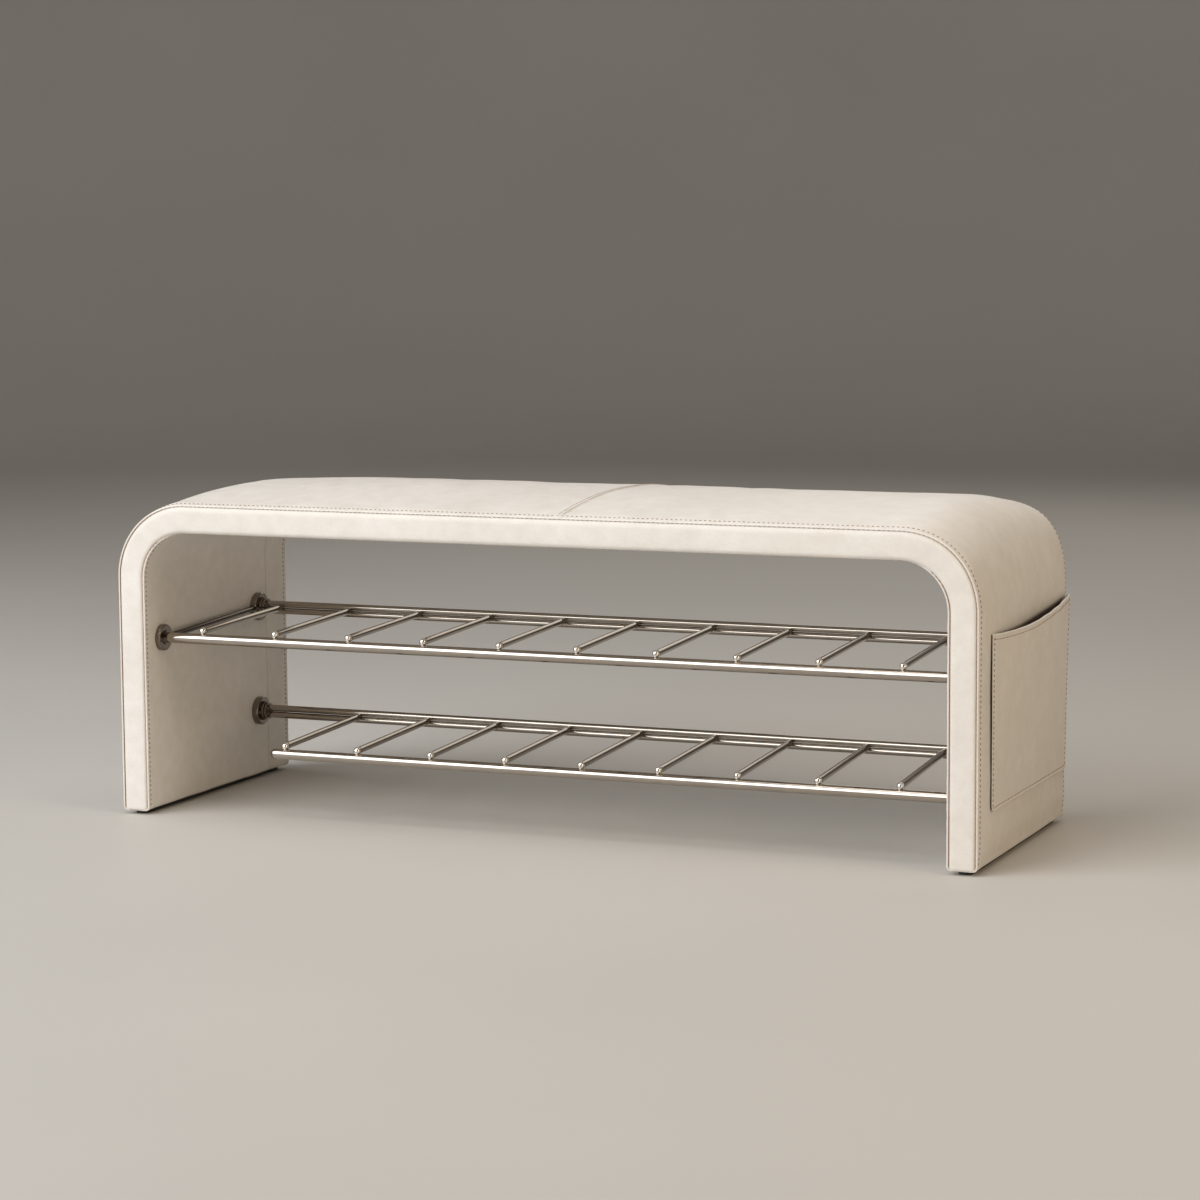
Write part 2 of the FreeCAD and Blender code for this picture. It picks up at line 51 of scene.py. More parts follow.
# Shape of the arch. The outer seam line is where the cover meets the front and back bands.
SEAT_CROWN = 19 * MM
SEAT_PUFF = 3.2 * MM
LEFT_END_FLATNESS = 0.5
LEFT_END_REACH = 270 * MM
EDGE_PLUMP = 1.6 * MM
EDGE_PLUMP_WIDTH = 6 * MM
SIDE_SWELL = 3 * MM
CORNER_RADIUS = 100 * MM
SEAT_FULLNESS = 2.1
SIDE_FULLNESS = 31
CORNER_EASE = 4
FOOT_FADE = 30 * MM
LEATHER = 1.5 * MM
PAD_DEPTH = 7.2 * MM
LINING_DEPTH = 5.2 * MM

# Places read from the frame
COVER_LOW, COVER_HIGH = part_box("left_cover")
LINING_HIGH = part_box("lining_main")[1]
POCKET_LOW, POCKET_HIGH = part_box("side_pocket")
RAIL_LOW, RAIL_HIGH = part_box("upper_front_rail")
SEAM_Y = COVER_HIGH.y
SEAM_Z = COVER_HIGH.z - SEAT_CROWN
FOOT = COVER_LOW.z
HALF_LENGTH = -COVER_LOW.x - SIDE_SWELL
CROSS_SEAM_X = COVER_HIGH.x
SHELL = HALF_LENGTH - LINING_HIGH.x + LEATHER
LINING_SEAM_Y = LINING_HIGH.y
CORNER_X = HALF_LENGTH - CORNER_RADIUS
CORNER_Z = SEAM_Z - CORNER_RADIUS

# Rolled lips and stitch rows
LIP_RISE_SEAT = 0.3 * MM
LIP_RISE_LEG = 1.0 * MM
LIP_DROP = 1.8 * MM
LIP_FRONT = 0.5 * MM
LIP_FRONT_UNDER_SEAT = -3.0 * MM
LIP_FOOT_RADIUS = 0.5 * MM
LIP_TOP_RADIUS = 1.1 * MM
LIP_TAIL = 2.5 * MM
LIP_BLEND = 3.0 * MM
LIP_UNEVENNESS = 0.16
LIP_UNEVEN_REACH = 40 * MM
ROW_INSET = 5.5 * MM
ROW_WIDTH = 1.0 * MM
ROW_DEPTH = 0.14 * MM
# A faint groove colour along each stitch row, partly painted shade
ROW_TINT = 0.1
ROW_PAD = 0.25 * MM
ROW_PAD_INSET = 2.6 * ROW_INSET
ROW_PAD_WIDTH = 1.2 * ROW_INSET
STITCH_PITCH = 6.4 * MM
STITCH_LENGTH = 3.4 * MM
SHORT_STITCH_PITCH = 6.0 * MM
SHORT_STITCH_LENGTH = 3.6 * MM
THREAD_RADIUS = 0.65 * MM
SUNK_THREAD_RADIUS = 0.45 * MM
SUNK_THREAD_DEPTH = 0.1 * MM
SUNK_THREAD_SEAT_SHARE = 0.4
FOOT_ROUND = 5.0 * MM
BAND_FOOT_ROUND = 3.5 * MM
FOOT_TUCK = 5.0 * MM

# Bands, whose edges tuck in under the lips
BAND_TUCK = 0.3 * MM
BAND_WIDTH = SHELL - 2 * (LIP_DROP - BAND_TUCK)
BAND_FORWARD = 0.7 * MM
BAND_PUFF = 0.8 * MM
BAND_ROLL_WIDTH = 5.5 * MM
BAND_ROLL_MORE_ON_SEAT = 4.5 * MM
BAND_ROLL_DEPTH = 3.2 * MM
BAND_ROLL_START = math.radians(6)
BAND_ROLL_START_MORE_ON_SEAT = math.radians(16)
BAND_UNDER_SEAT = 1.5 * MM
BAND_UNDER_ROLL = 1.3 * MM
BAND_DEPTH = 5.5 * MM

# Mouth of the side pocket
POCKET_FRONT = POCKET_LOW.y
POCKET_REAR = POCKET_HIGH.y
POCKET_WIDTH = POCKET_REAR - POCKET_FRONT
POCKET_TALL = POCKET_HIGH.z - POCKET_LOW.z
POCKET_FRONT_TOP = POCKET_HIGH.z - 13 * MM
POCKET_REAR_TOP = POCKET_HIGH.z - 2.5 * MM
POCKET_DIP = 6.0 * MM
POCKET_DIP_SKEW = 1.45
POCKET_GAPE = 14 * MM
POCKET_REAR_GAPE = 4.0 * MM
# Painted shade inside the pocket: how far it reaches over the mouth and above the foot, and where it
# starts and ends across
DARK_OVER_MOUTH = 3 * MM
DARK_OVER_FOOT = 8 * MM
DARK_FROM, DARK_TO, DARK_EASE = 0.03, 0.985, 0.05

# How much fuller the padding lies round the top corners than the boards under it
RIGHT_FULLNESS_FRONT = 1.5 * MM
RIGHT_FULLNESS_BACK = 8.0 * MM
LEFT_FULLNESS_FRONT = 0.0 * MM
LEFT_FULLNESS_BACK = -3.5 * MM

# Cross seam, where the left cover laps over the right one
LAP_PAST_SEAM = 6.0 * MM
LAP_WIDTH = 10.0 * MM
LAP_RISE = 0.45 * MM
LAP_ROLL = 0.9 * MM
LAP_FADE = 5 * MM
LAP_RIDGE = 0.4 * MM
LAP_RIDGE_WIDTH = 2.2 * MM
LAP_ROW_WIDTH = 0.7 * MM
LAP_SINK = 0.25 * MM
LAP_SINK_REACH = 4 * MM
LAP_NEAR_ROW = 2.2 * MM
LAP_FAR_ROW = 7.6 * MM
SEAM_SKEW = 20 * MM
SEAM_SKEW_REACH = 260 * MM

# Softness of the panels: how far they wander and how long the waves are
COVER_SOFTNESS, COVER_WAVE, COVER_CALM_EDGE = 0.3 * MM, 150 * MM, 35 * MM
LINING_SOFTNESS, LINING_WAVE, LINING_CALM_EDGE = 0.3 * MM, 130 * MM, 30 * MM
LINING_SLACK = 0.2 * MM
LINING_SEAM_DEPTH, LINING_SEAM_WIDTH = 0.8 * MM, 1.4 * MM
# The lining seam crease is darkened with the groove colour: painted shade
LINING_SEAM_PAINTED_SHADE, LINING_SEAM_PAINTED_SHADE_WIDTH = 0.6, 0.8 * MM
BAND_SOFTNESS, BAND_WAVE = 0.14 * MM, 60 * MM
BAND_GRAIN, BAND_GRAIN_WAVE = 0.05 * MM, 14 * MM
BAND_CREASE, BAND_CREASE_WAVE = 0.10 * MM, 11 * MM
POCKET_SOFTNESS, POCKET_WAVE, POCKET_CALM_EDGE = 0.5 * MM, 90 * MM, 40 * MM

# Steps of the meshes along and across the panels
STATION = 2.8 * MM
BAND_ROLL_POINTS = 9
HEM_POINTS = 9


def ripple(seed, reach, *places):
    """Smooth, repeatable unevenness, mostly between -1 and 1, with waves about as long as reach."""
    draw = np.random.default_rng(seed)
    total = 0.0
    waves = 7
    for _ in range(waves):
        phase = draw.uniform(0, 2 * math.pi)
        pulls = draw.normal(size=len(places)) * 2 * math.pi / reach
        total = total + np.sin(phase + sum(pull * place for pull, place in zip(pulls, places)))
    return total / math.sqrt(waves)


def smooth_step(share):
    share = np.clip(share, 0, 1)
    return share * share * (3 - 2 * share)


def dip(distance, width):
    """A soft bell, 1 at no distance."""
    return np.exp(-((distance / width) ** 2))


# Finishes

def paint(red, green, blue):
    """A screen colour of 0 to 255 as the linear colour that a shader takes."""
    def linear(part):
        part = part / 255
        return part / 12.92 if part <= 0.04045 else ((part + 0.055) / 1.055) ** 2.4

    return (linear(red), linear(green), linear(blue), 1.0)


class Value:
    """An output socket, so that shader maths on values is written as arithmetic."""

    def __init__(self, finish, socket):
        self.finish = finish
        self.socket = socket

    def __add__(self, other):
        return self.finish.math("ADD", self, other)

    def __sub__(self, other):
        return self.finish.math("SUBTRACT", self, other)

    def __rsub__(self, other):
        return self.finish.math("SUBTRACT", other, self)

    def __mul__(self, other):
        return self.finish.math("MULTIPLY", self, other)

    __radd__ = __add__
    __rmul__ = __mul__


class Finish:
    """A material while it is being made."""

    def __init__(self, name):
        self.material = bpy.data.materials.new(name)
        self.material.use_nodes = True
        self.tree = self.material.node_tree
        self.tree.nodes.clear()

    def node(self, kind, settings, sockets, output=0):
        """Adds a node, sets its settings first and then its sockets, and gives one of its outputs."""
        node = self.tree.nodes.new(kind)
        for name, value in settings.items():
            setattr(node, name, value)
        for name, value in sockets.items():
            if isinstance(value, Value):
                self.tree.links.new(value.socket, node.inputs[name])
            else:
                node.inputs[name].default_value = value
        return Value(self, node.outputs[output]) if node.outputs else None

    def math(self, operation, first, second):
        return self.node("ShaderNodeMath", {"operation": operation}, {0: first, 1: second})

    def clamp(self, value, high=1.0):
        return self.node("ShaderNodeClamp", {}, {"Value": value, "Min": 0.0, "Max": high})

    def mix(self, share, first, second):
        """A colour between two colours."""
        settings = {"data_type": "RGBA"}
        return self.node("ShaderNodeMix", settings, {0: share, 6: first, 7: second}, 2)

    def place(self, stretch=(1, 1, 1)):
        """The place on the part, in metres, drawn out along its axes."""
        place = self.node("ShaderNodeTexCoord", {}, {}, "Object")
        return self.node("ShaderNodeVectorMath", {"operation": "MULTIPLY"}, {0: place, 1: stretch})

    def noise(self, scale, detail=3.0, stretch=(1, 1, 1)):
        sockets = {"Vector": self.place(stretch), "Scale": scale, "Detail": detail}
        return self.node("ShaderNodeTexNoise", {}, sockets, "Fac")

    def cells(self, scale, stretch=(1, 1, 1)):
        sockets = {"Vector": self.place(stretch), "Scale": scale, "Smoothness": 0.6}
        return self.node("ShaderNodeTexVoronoi", {"feature": "SMOOTH_F1"}, sockets, "Distance")

    def attribute(self, name):
        return self.node("ShaderNodeAttribute", {"attribute_name": name}, {}, "Fac")

    def bump(self, height, distance, strength=1.0):
        sockets = {"Height": height, "Distance": distance, "Strength": strength}
        return self.node("ShaderNodeBump", {}, sockets, "Normal")

    def surface(self, sockets):
        shader = self.node("ShaderNodeBsdfPrincipled", {}, sockets, "BSDF")
        self.node("ShaderNodeOutputMaterial", {}, {"Surface": shader})
        return self.material


def cream_leather():
    finish = Finish("cream_leather")
    cloud = finish.noise(7.0, 4.0)
    mottle = finish.noise(55.0, 4.0)
    crease = finish.noise(70.0, 5.0, (0.6, 1.0, 1.0))
    pebble = finish.cells(560.0)
    groove = finish.attribute("groove")
    # The inside attribute paints shade: the pocket's inner faces and the leg's leather under the pocket
    # turn dark brown
    inside = finish.attribute("inside")
    depth = finish.clamp(0.5 + (cloud - 0.5) * 1.2 + (mottle - 0.5) * 1.1)
    hide = finish.mix(depth, paint(224, 218, 210), paint(241, 237, 232))
    grained = finish.mix(finish.clamp(pebble * 0.3, 0.25), hide, paint(208, 195, 180))
    # Groove colour: a tan joint colour with painted shade, in the ditches by the lips and bands, along
    # the lining seam crease, faintly along the stitch rows and on the hidden undersides
    joint_colour_and_shade = finish.mix(groove * 0.6, grained, paint(170, 140, 110))
    colour = finish.mix(inside, joint_colour_and_shade, paint(74, 60, 47))
    rough = 0.52 + (mottle - 0.5) * 0.18 - pebble * 0.08
    height = crease * 1.4 - pebble * 0.45 + mottle * 0.8
    return finish.surface({
        "Base Color": colour,
        "Roughness": rough,
        "Normal": finish.bump(height, 0.5 * MM, 0.5),
        "IOR": 1.42,
        "Sheen Weight": 0.05,
        "Sheen Roughness": 0.5,
    })


def tan_thread():
    finish = Finish("tan_thread")
    lay = finish.noise(1500.0, 2.0)
    wear = finish.noise(70.0, 2.0)
    shade = finish.clamp(lay * 0.7 + (wear - 0.5) * 0.8)
    colour = finish.mix(shade, paint(130, 104, 80), paint(174, 146, 118))
    return finish.surface({
        "Base Color": colour,
        "Roughness": 0.66 + (lay - 0.5) * 0.2,
        "Normal": finish.bump(lay, 0.2 * MM, 0.7),
        "Sheen Weight": 0.1,
    })


def satin_nickel(name, brushed_along, deep, pale, highlight_tips_before=None):
    """Polished nickel between two shades, with fine draw marks along one axis and front tips painted
    near white as a painted highlight.
    """
    finish = Finish(name)
    marks = finish.noise(900.0, 2.0, brushed_along)
    haze = finish.noise(30.0, 3.0)
    shade = finish.clamp(haze * 0.7 + marks * 0.3)
    colour = finish.mix(shade, deep, pale)
    rough = 0.10 + (marks - 0.5) * 0.04 + (haze - 0.5) * 0.03
    # Painted highlight: the front tips of the slats turn near white
    if highlight_tips_before is not None:
        along = finish.node("ShaderNodeSeparateXYZ", {}, {0: finish.place()}, "Y")
        tip_highlight = finish.clamp((highlight_tips_before - along) * 2000.0)
        colour = finish.mix(tip_highlight, colour, paint(238, 234, 228))
        rough = rough + tip_highlight * 0.05
    return finish.surface({
        "Base Color": colour,
        "Metallic": 1.0,
        "Roughness": rough,
        "Normal": finish.bump(marks, 0.002 * MM, 0.3),
    })


def black_plastic():
    finish = Finish("black_plastic")
    spark = finish.cells(900.0)
    scuff = finish.noise(40.0, 4.0)
    colour = finish.mix(finish.clamp(scuff), paint(16, 16, 17), paint(34, 34, 35))
    return finish.surface({
        "Base Color": colour,
        "Roughness": 0.48 + (scuff - 0.5) * 0.2,
        "Normal": finish.bump(spark, 0.08 * MM, 0.6),
    })


def birch_ply():
    finish = Finish("birch_ply")
    figure = finish.noise(16.0, 5.0, (0.25, 1.0, 2.0))
    pores = finish.noise(420.0, 2.0, (0.08, 1.0, 1.0))
    shade = finish.clamp(figure * 0.8 + pores * 0.2)
    colour = finish.mix(shade, paint(176, 138, 94), paint(222, 192, 150))
    return finish.surface({
        "Base Color": colour,
        "Roughness": 0.62 + (pores - 0.5) * 0.2,
        "Normal": finish.bump(pores, 0.1 * MM, 0.5),
    })


def zinc_steel():
    finish = Finish("zinc_steel")
    spangle = finish.cells(260.0)
    colour = finish.mix(finish.clamp(spangle), paint(150, 152, 156), paint(198, 200, 204))
    return finish.surface({
        "Base Color": colour,
        "Metallic": 1.0,
        "Roughness": 0.3 + spangle * 0.12,
        "Normal": finish.bump(spangle, 0.05 * MM, 0.4),
    })


CREAM_LEATHER = cream_leather()
TAN_THREAD = tan_thread()
# Rails and slats are one nickel in two shades, each matched to how bright that part shows: painted
# light and shade. The flanges are a darker nickel.
NICKEL_ALONG_X = satin_nickel("nickel_rail", (0.02, 1, 1), paint(158, 149, 139), paint(184, 176, 166))
# Where the painted highlight on the slat tips begins, just past the front rail
TIP_PAST_RAIL = 4.2 * MM
TIP_END = (RAIL_LOW.y + RAIL_HIGH.y) / 2 + TIP_PAST_RAIL
NICKEL_ALONG_Y = satin_nickel("nickel_slat", (1, 0.02, 1), paint(138, 129, 118), paint(164, 155, 143),
                              TIP_END)
# The end rod is the same nickel painted much darker: painted shade
SHADED_NICKEL_END_ROD = satin_nickel("nickel_end_rod_painted_shade", (1, 0.02, 1), paint(70, 63, 57), paint(90, 83, 76))
NICKEL_TURNED = satin_nickel("nickel_flange", (1, 1, 1), paint(124, 115, 105), paint(150, 141, 131))
BLACK_PLASTIC = black_plastic()
BIRCH_PLY = birch_ply()
ZINC_STEEL = zinc_steel()


# Meshes

def settled(points):
    """Points moved where a corner is fuller or flatter, and along the cross seam, which runs askew."""
    side = np.sign(points[:, 0])
    beyond = np.clip(np.abs(points[:, 0]) - CORNER_X, 0, None)
    above = np.clip(points[:, 2] - CORNER_Z, 0, None)
    reach = np.maximum(np.hypot(beyond, above), MM)
    round_corner = (2 * beyond * above / reach**2) ** 2
    in_shell = np.clip((reach - CORNER_RADIUS + SHELL) / SHELL, 0, 1)
    to_back = np.clip((points[:, 1] + SEAM_Y) / (2 * SEAM_Y), 0, 1)
    right = RIGHT_FULLNESS_FRONT + (RIGHT_FULLNESS_BACK - RIGHT_FULLNESS_FRONT) * to_back
    left = LEFT_FULLNESS_FRONT + (LEFT_FULLNESS_BACK - LEFT_FULLNESS_FRONT) * smooth_step(2 * to_back)
    to_seat = 0.35 + above / reach
    move = np.where(side > 0, right * to_seat, left) * round_corner * in_shell / reach
    near_seam = 1 - smooth_step(np.abs(points[:, 0] - CROSS_SEAM_X) / SEAM_SKEW_REACH)
    askew = SEAM_SKEW * to_back * near_seam
    return points + np.stack([side * beyond * move + askew, 0 * move, above * move], -1)


def signed_volume(points, faces):
    corners = points[np.array(faces)]
    first = np.einsum("ij,ij->i", corners[:, 0], np.cross(corners[:, 1], corners[:, 2]))
    second = np.einsum("ij,ij->i", corners[:, 0], np.cross(corners[:, 2], corners[:, 3]))
    return (first + second).sum()


def placed(name, data):
    """A new object in the scene."""
    made = bpy.data.objects.new(name, data)
    bpy.context.scene.collection.objects.link(made)
    return made


def smooth_object(name, points, faces, material):
    mesh = bpy.data.meshes.new(name)
    mesh.from_pydata(points.tolist(), [], faces)
    mesh.polygons.foreach_set("use_smooth", [True] * len(mesh.polygons))
    mesh.materials.append(material)
    mesh.update()
    return placed(name, mesh)


def piece(name, points, faces, material, attributes=None):
    """A smooth object that rides on the bench."""
    made = smooth_object(name, settled(points), faces, material)
    for key, values in (attributes or {}).items():
        layer = made.data.attributes.new(key, "FLOAT", "POINT")
        layer.data.foreach_set("value", values.astype(np.float32))
    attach(made, "root")
    return made


def tube_faces(stations, around):
    """Quads of a skin whose loops of points follow each other."""
    first = np.arange(stations - 1)[:, None] * around
    here = np.arange(around)[None, :]
    there = (here + 1) % around
    after = first + around
    quads = np.stack([first + here, first + there, after + there, after + here], axis=-1)
    return quads.reshape(-1, 4).tolist()


def end_caps(stations, around):
    """Faces that close the first and the last loop of a skin."""
    last = (stations - 1) * around
    return [list(range(around))[::-1], list(range(last, last + around))]


def closed_skin(name, loops, material, groove=0.0, inside=0.0):
    """A closed solid from loops of points: an array of (stations, points round, 3)."""
    stations, around = loops.shape[:2]
    points = loops.reshape(-1, 3)
    faces = tube_faces(stations, around)
    caps = end_caps(stations, around)
    if signed_volume(points, faces) < 0:
        faces = [face[::-1] for face in faces]
        caps = [cap[::-1] for cap in caps]
    # groove carries a tan joint colour with painted shade; inside carries the painted shade in and
    # under the pocket
    attributes = {
        key: np.broadcast_to(value, (stations, around)).ravel()
        for key, value in {"groove": groove, "inside": inside}.items()
    }
    return piece(name, points, faces + caps, material, attributes)


# The arch

class ArchLine:
    """The line that a panel follows from the left foot over the seat to the right foot.

    Height is measured outwards from the outer seam line. Below the legs the line curls under, with
    foot_round as the radius.
    """

    def __init__(self, height, foot_round):
        self.height = height
        self.foot_round = foot_round
        self.radius = CORNER_RADIUS + height
        self.leg = CORNER_Z - FOOT - foot_round
        self.arc = self.radius * math.pi / 2
        self.length = 2 * (self.leg + self.arc + CORNER_X)
        self.curl = foot_round * math.pi / 2

    def run_at_x(self, x):
        """How far along the line a place on the seat is."""
        return self.length / 2 + x

    def seat_share(self, run):
        """1 on the seat and 0 on the legs, easing round the corners."""
        return np.sin(self.turn(run)) ** CORNER_EASE

    def from_foot(self, run):
        return np.minimum(run, self.length - run)

    def turn(self, run):
        return np.clip((self.from_foot(run) - self.leg) / self.radius, 0, math.pi / 2)

    def frame(self, run):
        """Places on the line and the outward directions there."""
        side = np.where(run > self.length / 2, 1.0, -1.0)
        height = np.clip(self.from_foot(run), 0, self.leg)
        along_seat = np.clip(self.from_foot(run) - self.leg - self.arc, 0, None)
        turn = self.turn(run)
        x = side * (CORNER_X + self.radius * np.cos(turn) - along_seat)
        z = FOOT + self.foot_round + height + self.radius * np.sin(turn)
        flat = np.zeros_like(x)
        return np.stack([x, flat, z], -1), np.stack([side * np.cos(turn), flat, np.sin(turn)], -1)

    def skin(self, run, across, lift, facing):
        """Points of a panel: across its width, and lifted in the direction that it faces."""
        place, outward = self.frame(run)
        below = np.clip(-self.from_foot(run), 0, None)
        curl = np.minimum(below / self.foot_round, math.pi / 2)[:, None]
        tuck = np.clip(below - self.curl, 0, None)[:, None]
        reach = (self.foot_round + lift) * np.cos(curl) - self.foot_round - tuck
        drop = (self.foot_round + lift) * np.sin(curl)
        along_y = np.array([0.0, 1.0, 0.0])
        if facing in ("outer", "inner"):
            sign = 1.0 if facing == "outer" else -1.0
            points = sign * outward[:, None, :] * reach[..., None] + along_y * across[..., None]
        else:
            sign = 1.0 if facing == "back" else -1.0
            points = sign * along_y * (SEAM_Y + reach)[..., None]
            points = points + outward[:, None, :] * across[..., None]
        points = place[:, None, :] + points
        points[..., 2] -= drop
        return points

    def stations(self, start, end):
        """Even steps along the line, with closer ones where it curls under a foot."""
        curls = np.linspace(0, self.curl, 8)[1:]
        under = np.concatenate([curls, self.curl + np.array([0.5, 1.0]) * FOOT_TUCK])
        count = int(round((min(end, self.length) - max(start, 0)) / STATION))
        steps = [np.linspace(max(start, 0), min(end, self.length), count + 1)]
        if start < 0:
            steps.insert(0, -under[::-1])
        if end > self.length:
            steps.append(self.length + under)
        return np.concatenate(steps)


def pocket_mouth(across):
    """Height of the pocket's mouth, by the share of the way from the front to the rear."""
    straight = POCKET_FRONT_TOP + (POCKET_REAR_TOP - POCKET_FRONT_TOP) * across
    skewed = 1 - (1 - np.clip(across, 0, 1)) ** POCKET_DIP_SKEW
    return straight - POCKET_DIP * 4 * skewed * (1 - skewed)


def painted_pocket_shade(points):
    """Painted shade: 1 on the leather of the leg that the pocket covers, which is painted dark there,
    and 0 on the rest.
    """
    across = (points[..., 1] - POCKET_FRONT) / POCKET_WIDTH
    z = points[..., 2]
    below_mouth = smooth_step((pocket_mouth(across) + DARK_OVER_MOUTH - z) / (2 * DARK_OVER_MOUTH))
    above_foot = smooth_step((z - POCKET_LOW.z - DARK_OVER_FOOT) / DARK_OVER_FOOT)
    within = smooth_step((across - DARK_FROM) / DARK_EASE) * smooth_step((DARK_TO - across) / DARK_EASE)
    return below_mouth * above_foot * within * (points[..., 0] > 0)


# A run past both feet, which takes in the curls under them
WHOLE = (-1.0, 10.0)
COVER_LINE = ArchLine(0.0, FOOT_ROUND)
LINING_LINE = ArchLine(-SHELL, FOOT_ROUND)
BAND_LINE = ArchLine(-SHELL / 2, BAND_FOOT_ROUND)


# Insets of the panel points from the seam plane to the middle, closest at the lip and the stitch row
EDGE_INSETS = np.array([2.2, 3.1, 4.0, 4.6, 5.1, 5.5, 5.9, 6.4, 7.1, 8.2, 9.8, 12.0, 15.0, 19.0]) * MM


def insets_to(middle, count):
    """Insets from the edge to a distance, even past the ones at the edge."""
    rest = np.linspace(EDGE_INSETS[-1], middle, count + 1)[1:]
    return np.concatenate([EDGE_INSETS, rest])


def lip_rise(line, run):
    share = line.seat_share(run)
    return LIP_RISE_LEG + (LIP_RISE_SEAT - LIP_RISE_LEG) * share


def rolled_lip(rise, front):
    """Insets and lifts of a panel's folded edge, from its hidden tail round its face to its top."""
    front = front[:, None]
    foot = np.linspace(1.5 * math.pi, math.pi, 4)
    top = np.linspace(math.pi, 0.5 * math.pi, 6)
    tail = np.full((len(rise), 1), LIP_TAIL)
    foot_inset = LIP_FOOT_RADIUS * (1 + np.cos(foot)) - front
    top_inset = LIP_TOP_RADIUS * (1 + np.cos(top)) - front
    foot_lift = LIP_FOOT_RADIUS * (1 + np.sin(foot)) - LIP_DROP + 0 * front
    top_lift = rise[:, None] - LIP_TOP_RADIUS * (1 - np.sin(top))
    return np.hstack([tail, foot_inset, top_inset]), np.hstack([foot_lift[:, :1], foot_lift, top_lift])


# Shares of groove colour on the points of a folded edge and of a band's edge, on seat and legs. The
# groove colour is a tan joint colour with painted shade, deepest in the ditch and much stronger on the
# legs
LIP_GROOVE_SEAT = np.pad([0.4, 0.25, 0.1], (0, 8))
LIP_GROOVE_LEG = np.pad([1.6, 1.6, 1.5, 1.0, 0.5, 0.2], (0, 5))
BAND_GROOVE_SEAT = np.pad([0.3, 0.15], (0, 7))
BAND_GROOVE_LEG = np.pad([1.6, 1.6, 1.3, 0.8, 0.4, 0.15, 0.05], (0, 2))


def groove_share(line, run, on_seat, on_leg):
    """Shares of groove colour, a tan joint colour with painted shade, at each station, between those on
    the seat and those on the legs.
    """
    return on_leg + (on_seat - on_leg) * line.seat_share(run)[:, None]


def stitch_row_dip(inset):
    """The shallow channel that a row of stitches pulls into a panel, with fuller leather beside it."""
    pad = ROW_PAD * dip(inset - ROW_PAD_INSET, ROW_PAD_WIDTH)
    return pad - ROW_DEPTH * dip(inset - ROW_INSET, ROW_WIDTH)


def seam_edge_lift(line, run, inset, seed):
    """What the lip and the stitch row add to a panel near its edge."""
    uneven = 1 + LIP_UNEVENNESS * ripple(seed, LIP_UNEVEN_REACH, run)[:, None]
    lip = (lip_rise(line, run)[:, None] * uneven) * dip(inset, LIP_BLEND)
    return lip + stitch_row_dip(inset)


def crown(line, run, y):
    """Height of the cover over the seam line: full on the seat and slight on the legs."""
    away = np.abs(y) / SEAM_Y
    share = line.seat_share(run)[:, None]
    fade = smooth_step(line.from_foot(run) / FOOT_FADE)[:, None]
    plump = EDGE_PLUMP * (1 - np.exp(-(SEAM_Y - np.abs(y)) / EDGE_PLUMP_WIDTH))
    seat = (SEAT_CROWN + SEAT_PUFF - EDGE_PLUMP) * (1 - away**SEAT_FULLNESS) + plump
    from_left_end = HALF_LENGTH + line.frame(run)[0][:, :1]
    seat = seat * (1 - LEFT_END_FLATNESS * (1 - smooth_step(from_left_end / LEFT_END_REACH)))
    side = SIDE_SWELL * (1 - away**SIDE_FULLNESS) * fade
    return side + (seat - side) * share


# Puckers of the cover, from a cloth simulation of leather that is sewn down over springy foam

CLOTH_STEP = 9 * MM
CLOTH_FRAMES = 20
CLOTH_SPARE = 0.01
CLOTH_PRESSURE = 4.0
PUCKER_REACH = 100
PUCKER_SHARE = 0.16
PUCKER_CAP = 0.9 * MM
PUCKER_FINENESS = 3
PUCKER_SMOOTHING = 12


def blurred(grid, passes):
    """A grid of values evened out with their neighbours, while its rim keeps its values."""
    for _ in range(passes):
        wide = np.pad(grid, 1, mode="reflect", reflect_type="odd")
        beside = wide[:-2, 1:-1] + wide[2:, 1:-1] + wide[1:-1, :-2] + wide[1:-1, 2:]
        grid = grid / 2 + beside / 8
    return grid


def between(grid, down, across):
    """Values between the points of an even grid, at shares of its two spans."""
    down = np.clip(down, 0, 1) * (grid.shape[0] - 1)
    across = np.clip(across, 0, 1) * (grid.shape[1] - 1)
    i = np.minimum(down.astype(int), grid.shape[0] - 2)
    j = np.minimum(across.astype(int), grid.shape[1] - 2)
    near = grid[i, j] + (grid[i, j + 1] - grid[i, j]) * (across - j)
    far = grid[i + 1, j] + (grid[i + 1, j + 1] - grid[i + 1, j]) * (across - j)
    return near + (far - near) * (down - i)


def cloth_rig(name, start):
    """A cloth object from a grid of points, held along its rim and blown out."""
    index = np.arange(start[..., 0].size).reshape(start.shape[:2])
    faces = np.stack([index[:-1, :-1], index[1:, :-1], index[1:, 1:], index[:-1, 1:]], -1)
    mesh = bpy.data.meshes.new(name)
    mesh.from_pydata(start.reshape(-1, 3).tolist(), [], faces.reshape(-1, 4).tolist())
    cloth = placed(name, mesh)
    rim = np.concatenate([index[0], index[-1], index[:, 0], index[:, -1]])
    cloth.vertex_groups.new(name="sewn").add(rim.tolist(), 1.0, "REPLACE")
    modifier = cloth.modifiers.new("leather", "CLOTH")
    modifier.point_cache.frame_start = 1
    modifier.point_cache.frame_end = CLOTH_FRAMES
    modifier.collision_settings.use_collision = False
    settings = modifier.settings
    settings.quality = 6
    settings.mass = 0.3
    settings.tension_stiffness = 40
    settings.compression_stiffness = 40
    settings.shear_stiffness = 20
    settings.bending_stiffness = 8
    settings.shrink_min = -CLOTH_SPARE
    settings.shrink_max = -CLOTH_SPARE
    settings.use_pressure = True
    settings.uniform_pressure_force = CLOTH_PRESSURE
    settings.vertex_group_mass = "sewn"
    settings.effector_weights.gravity = 0
    return cloth


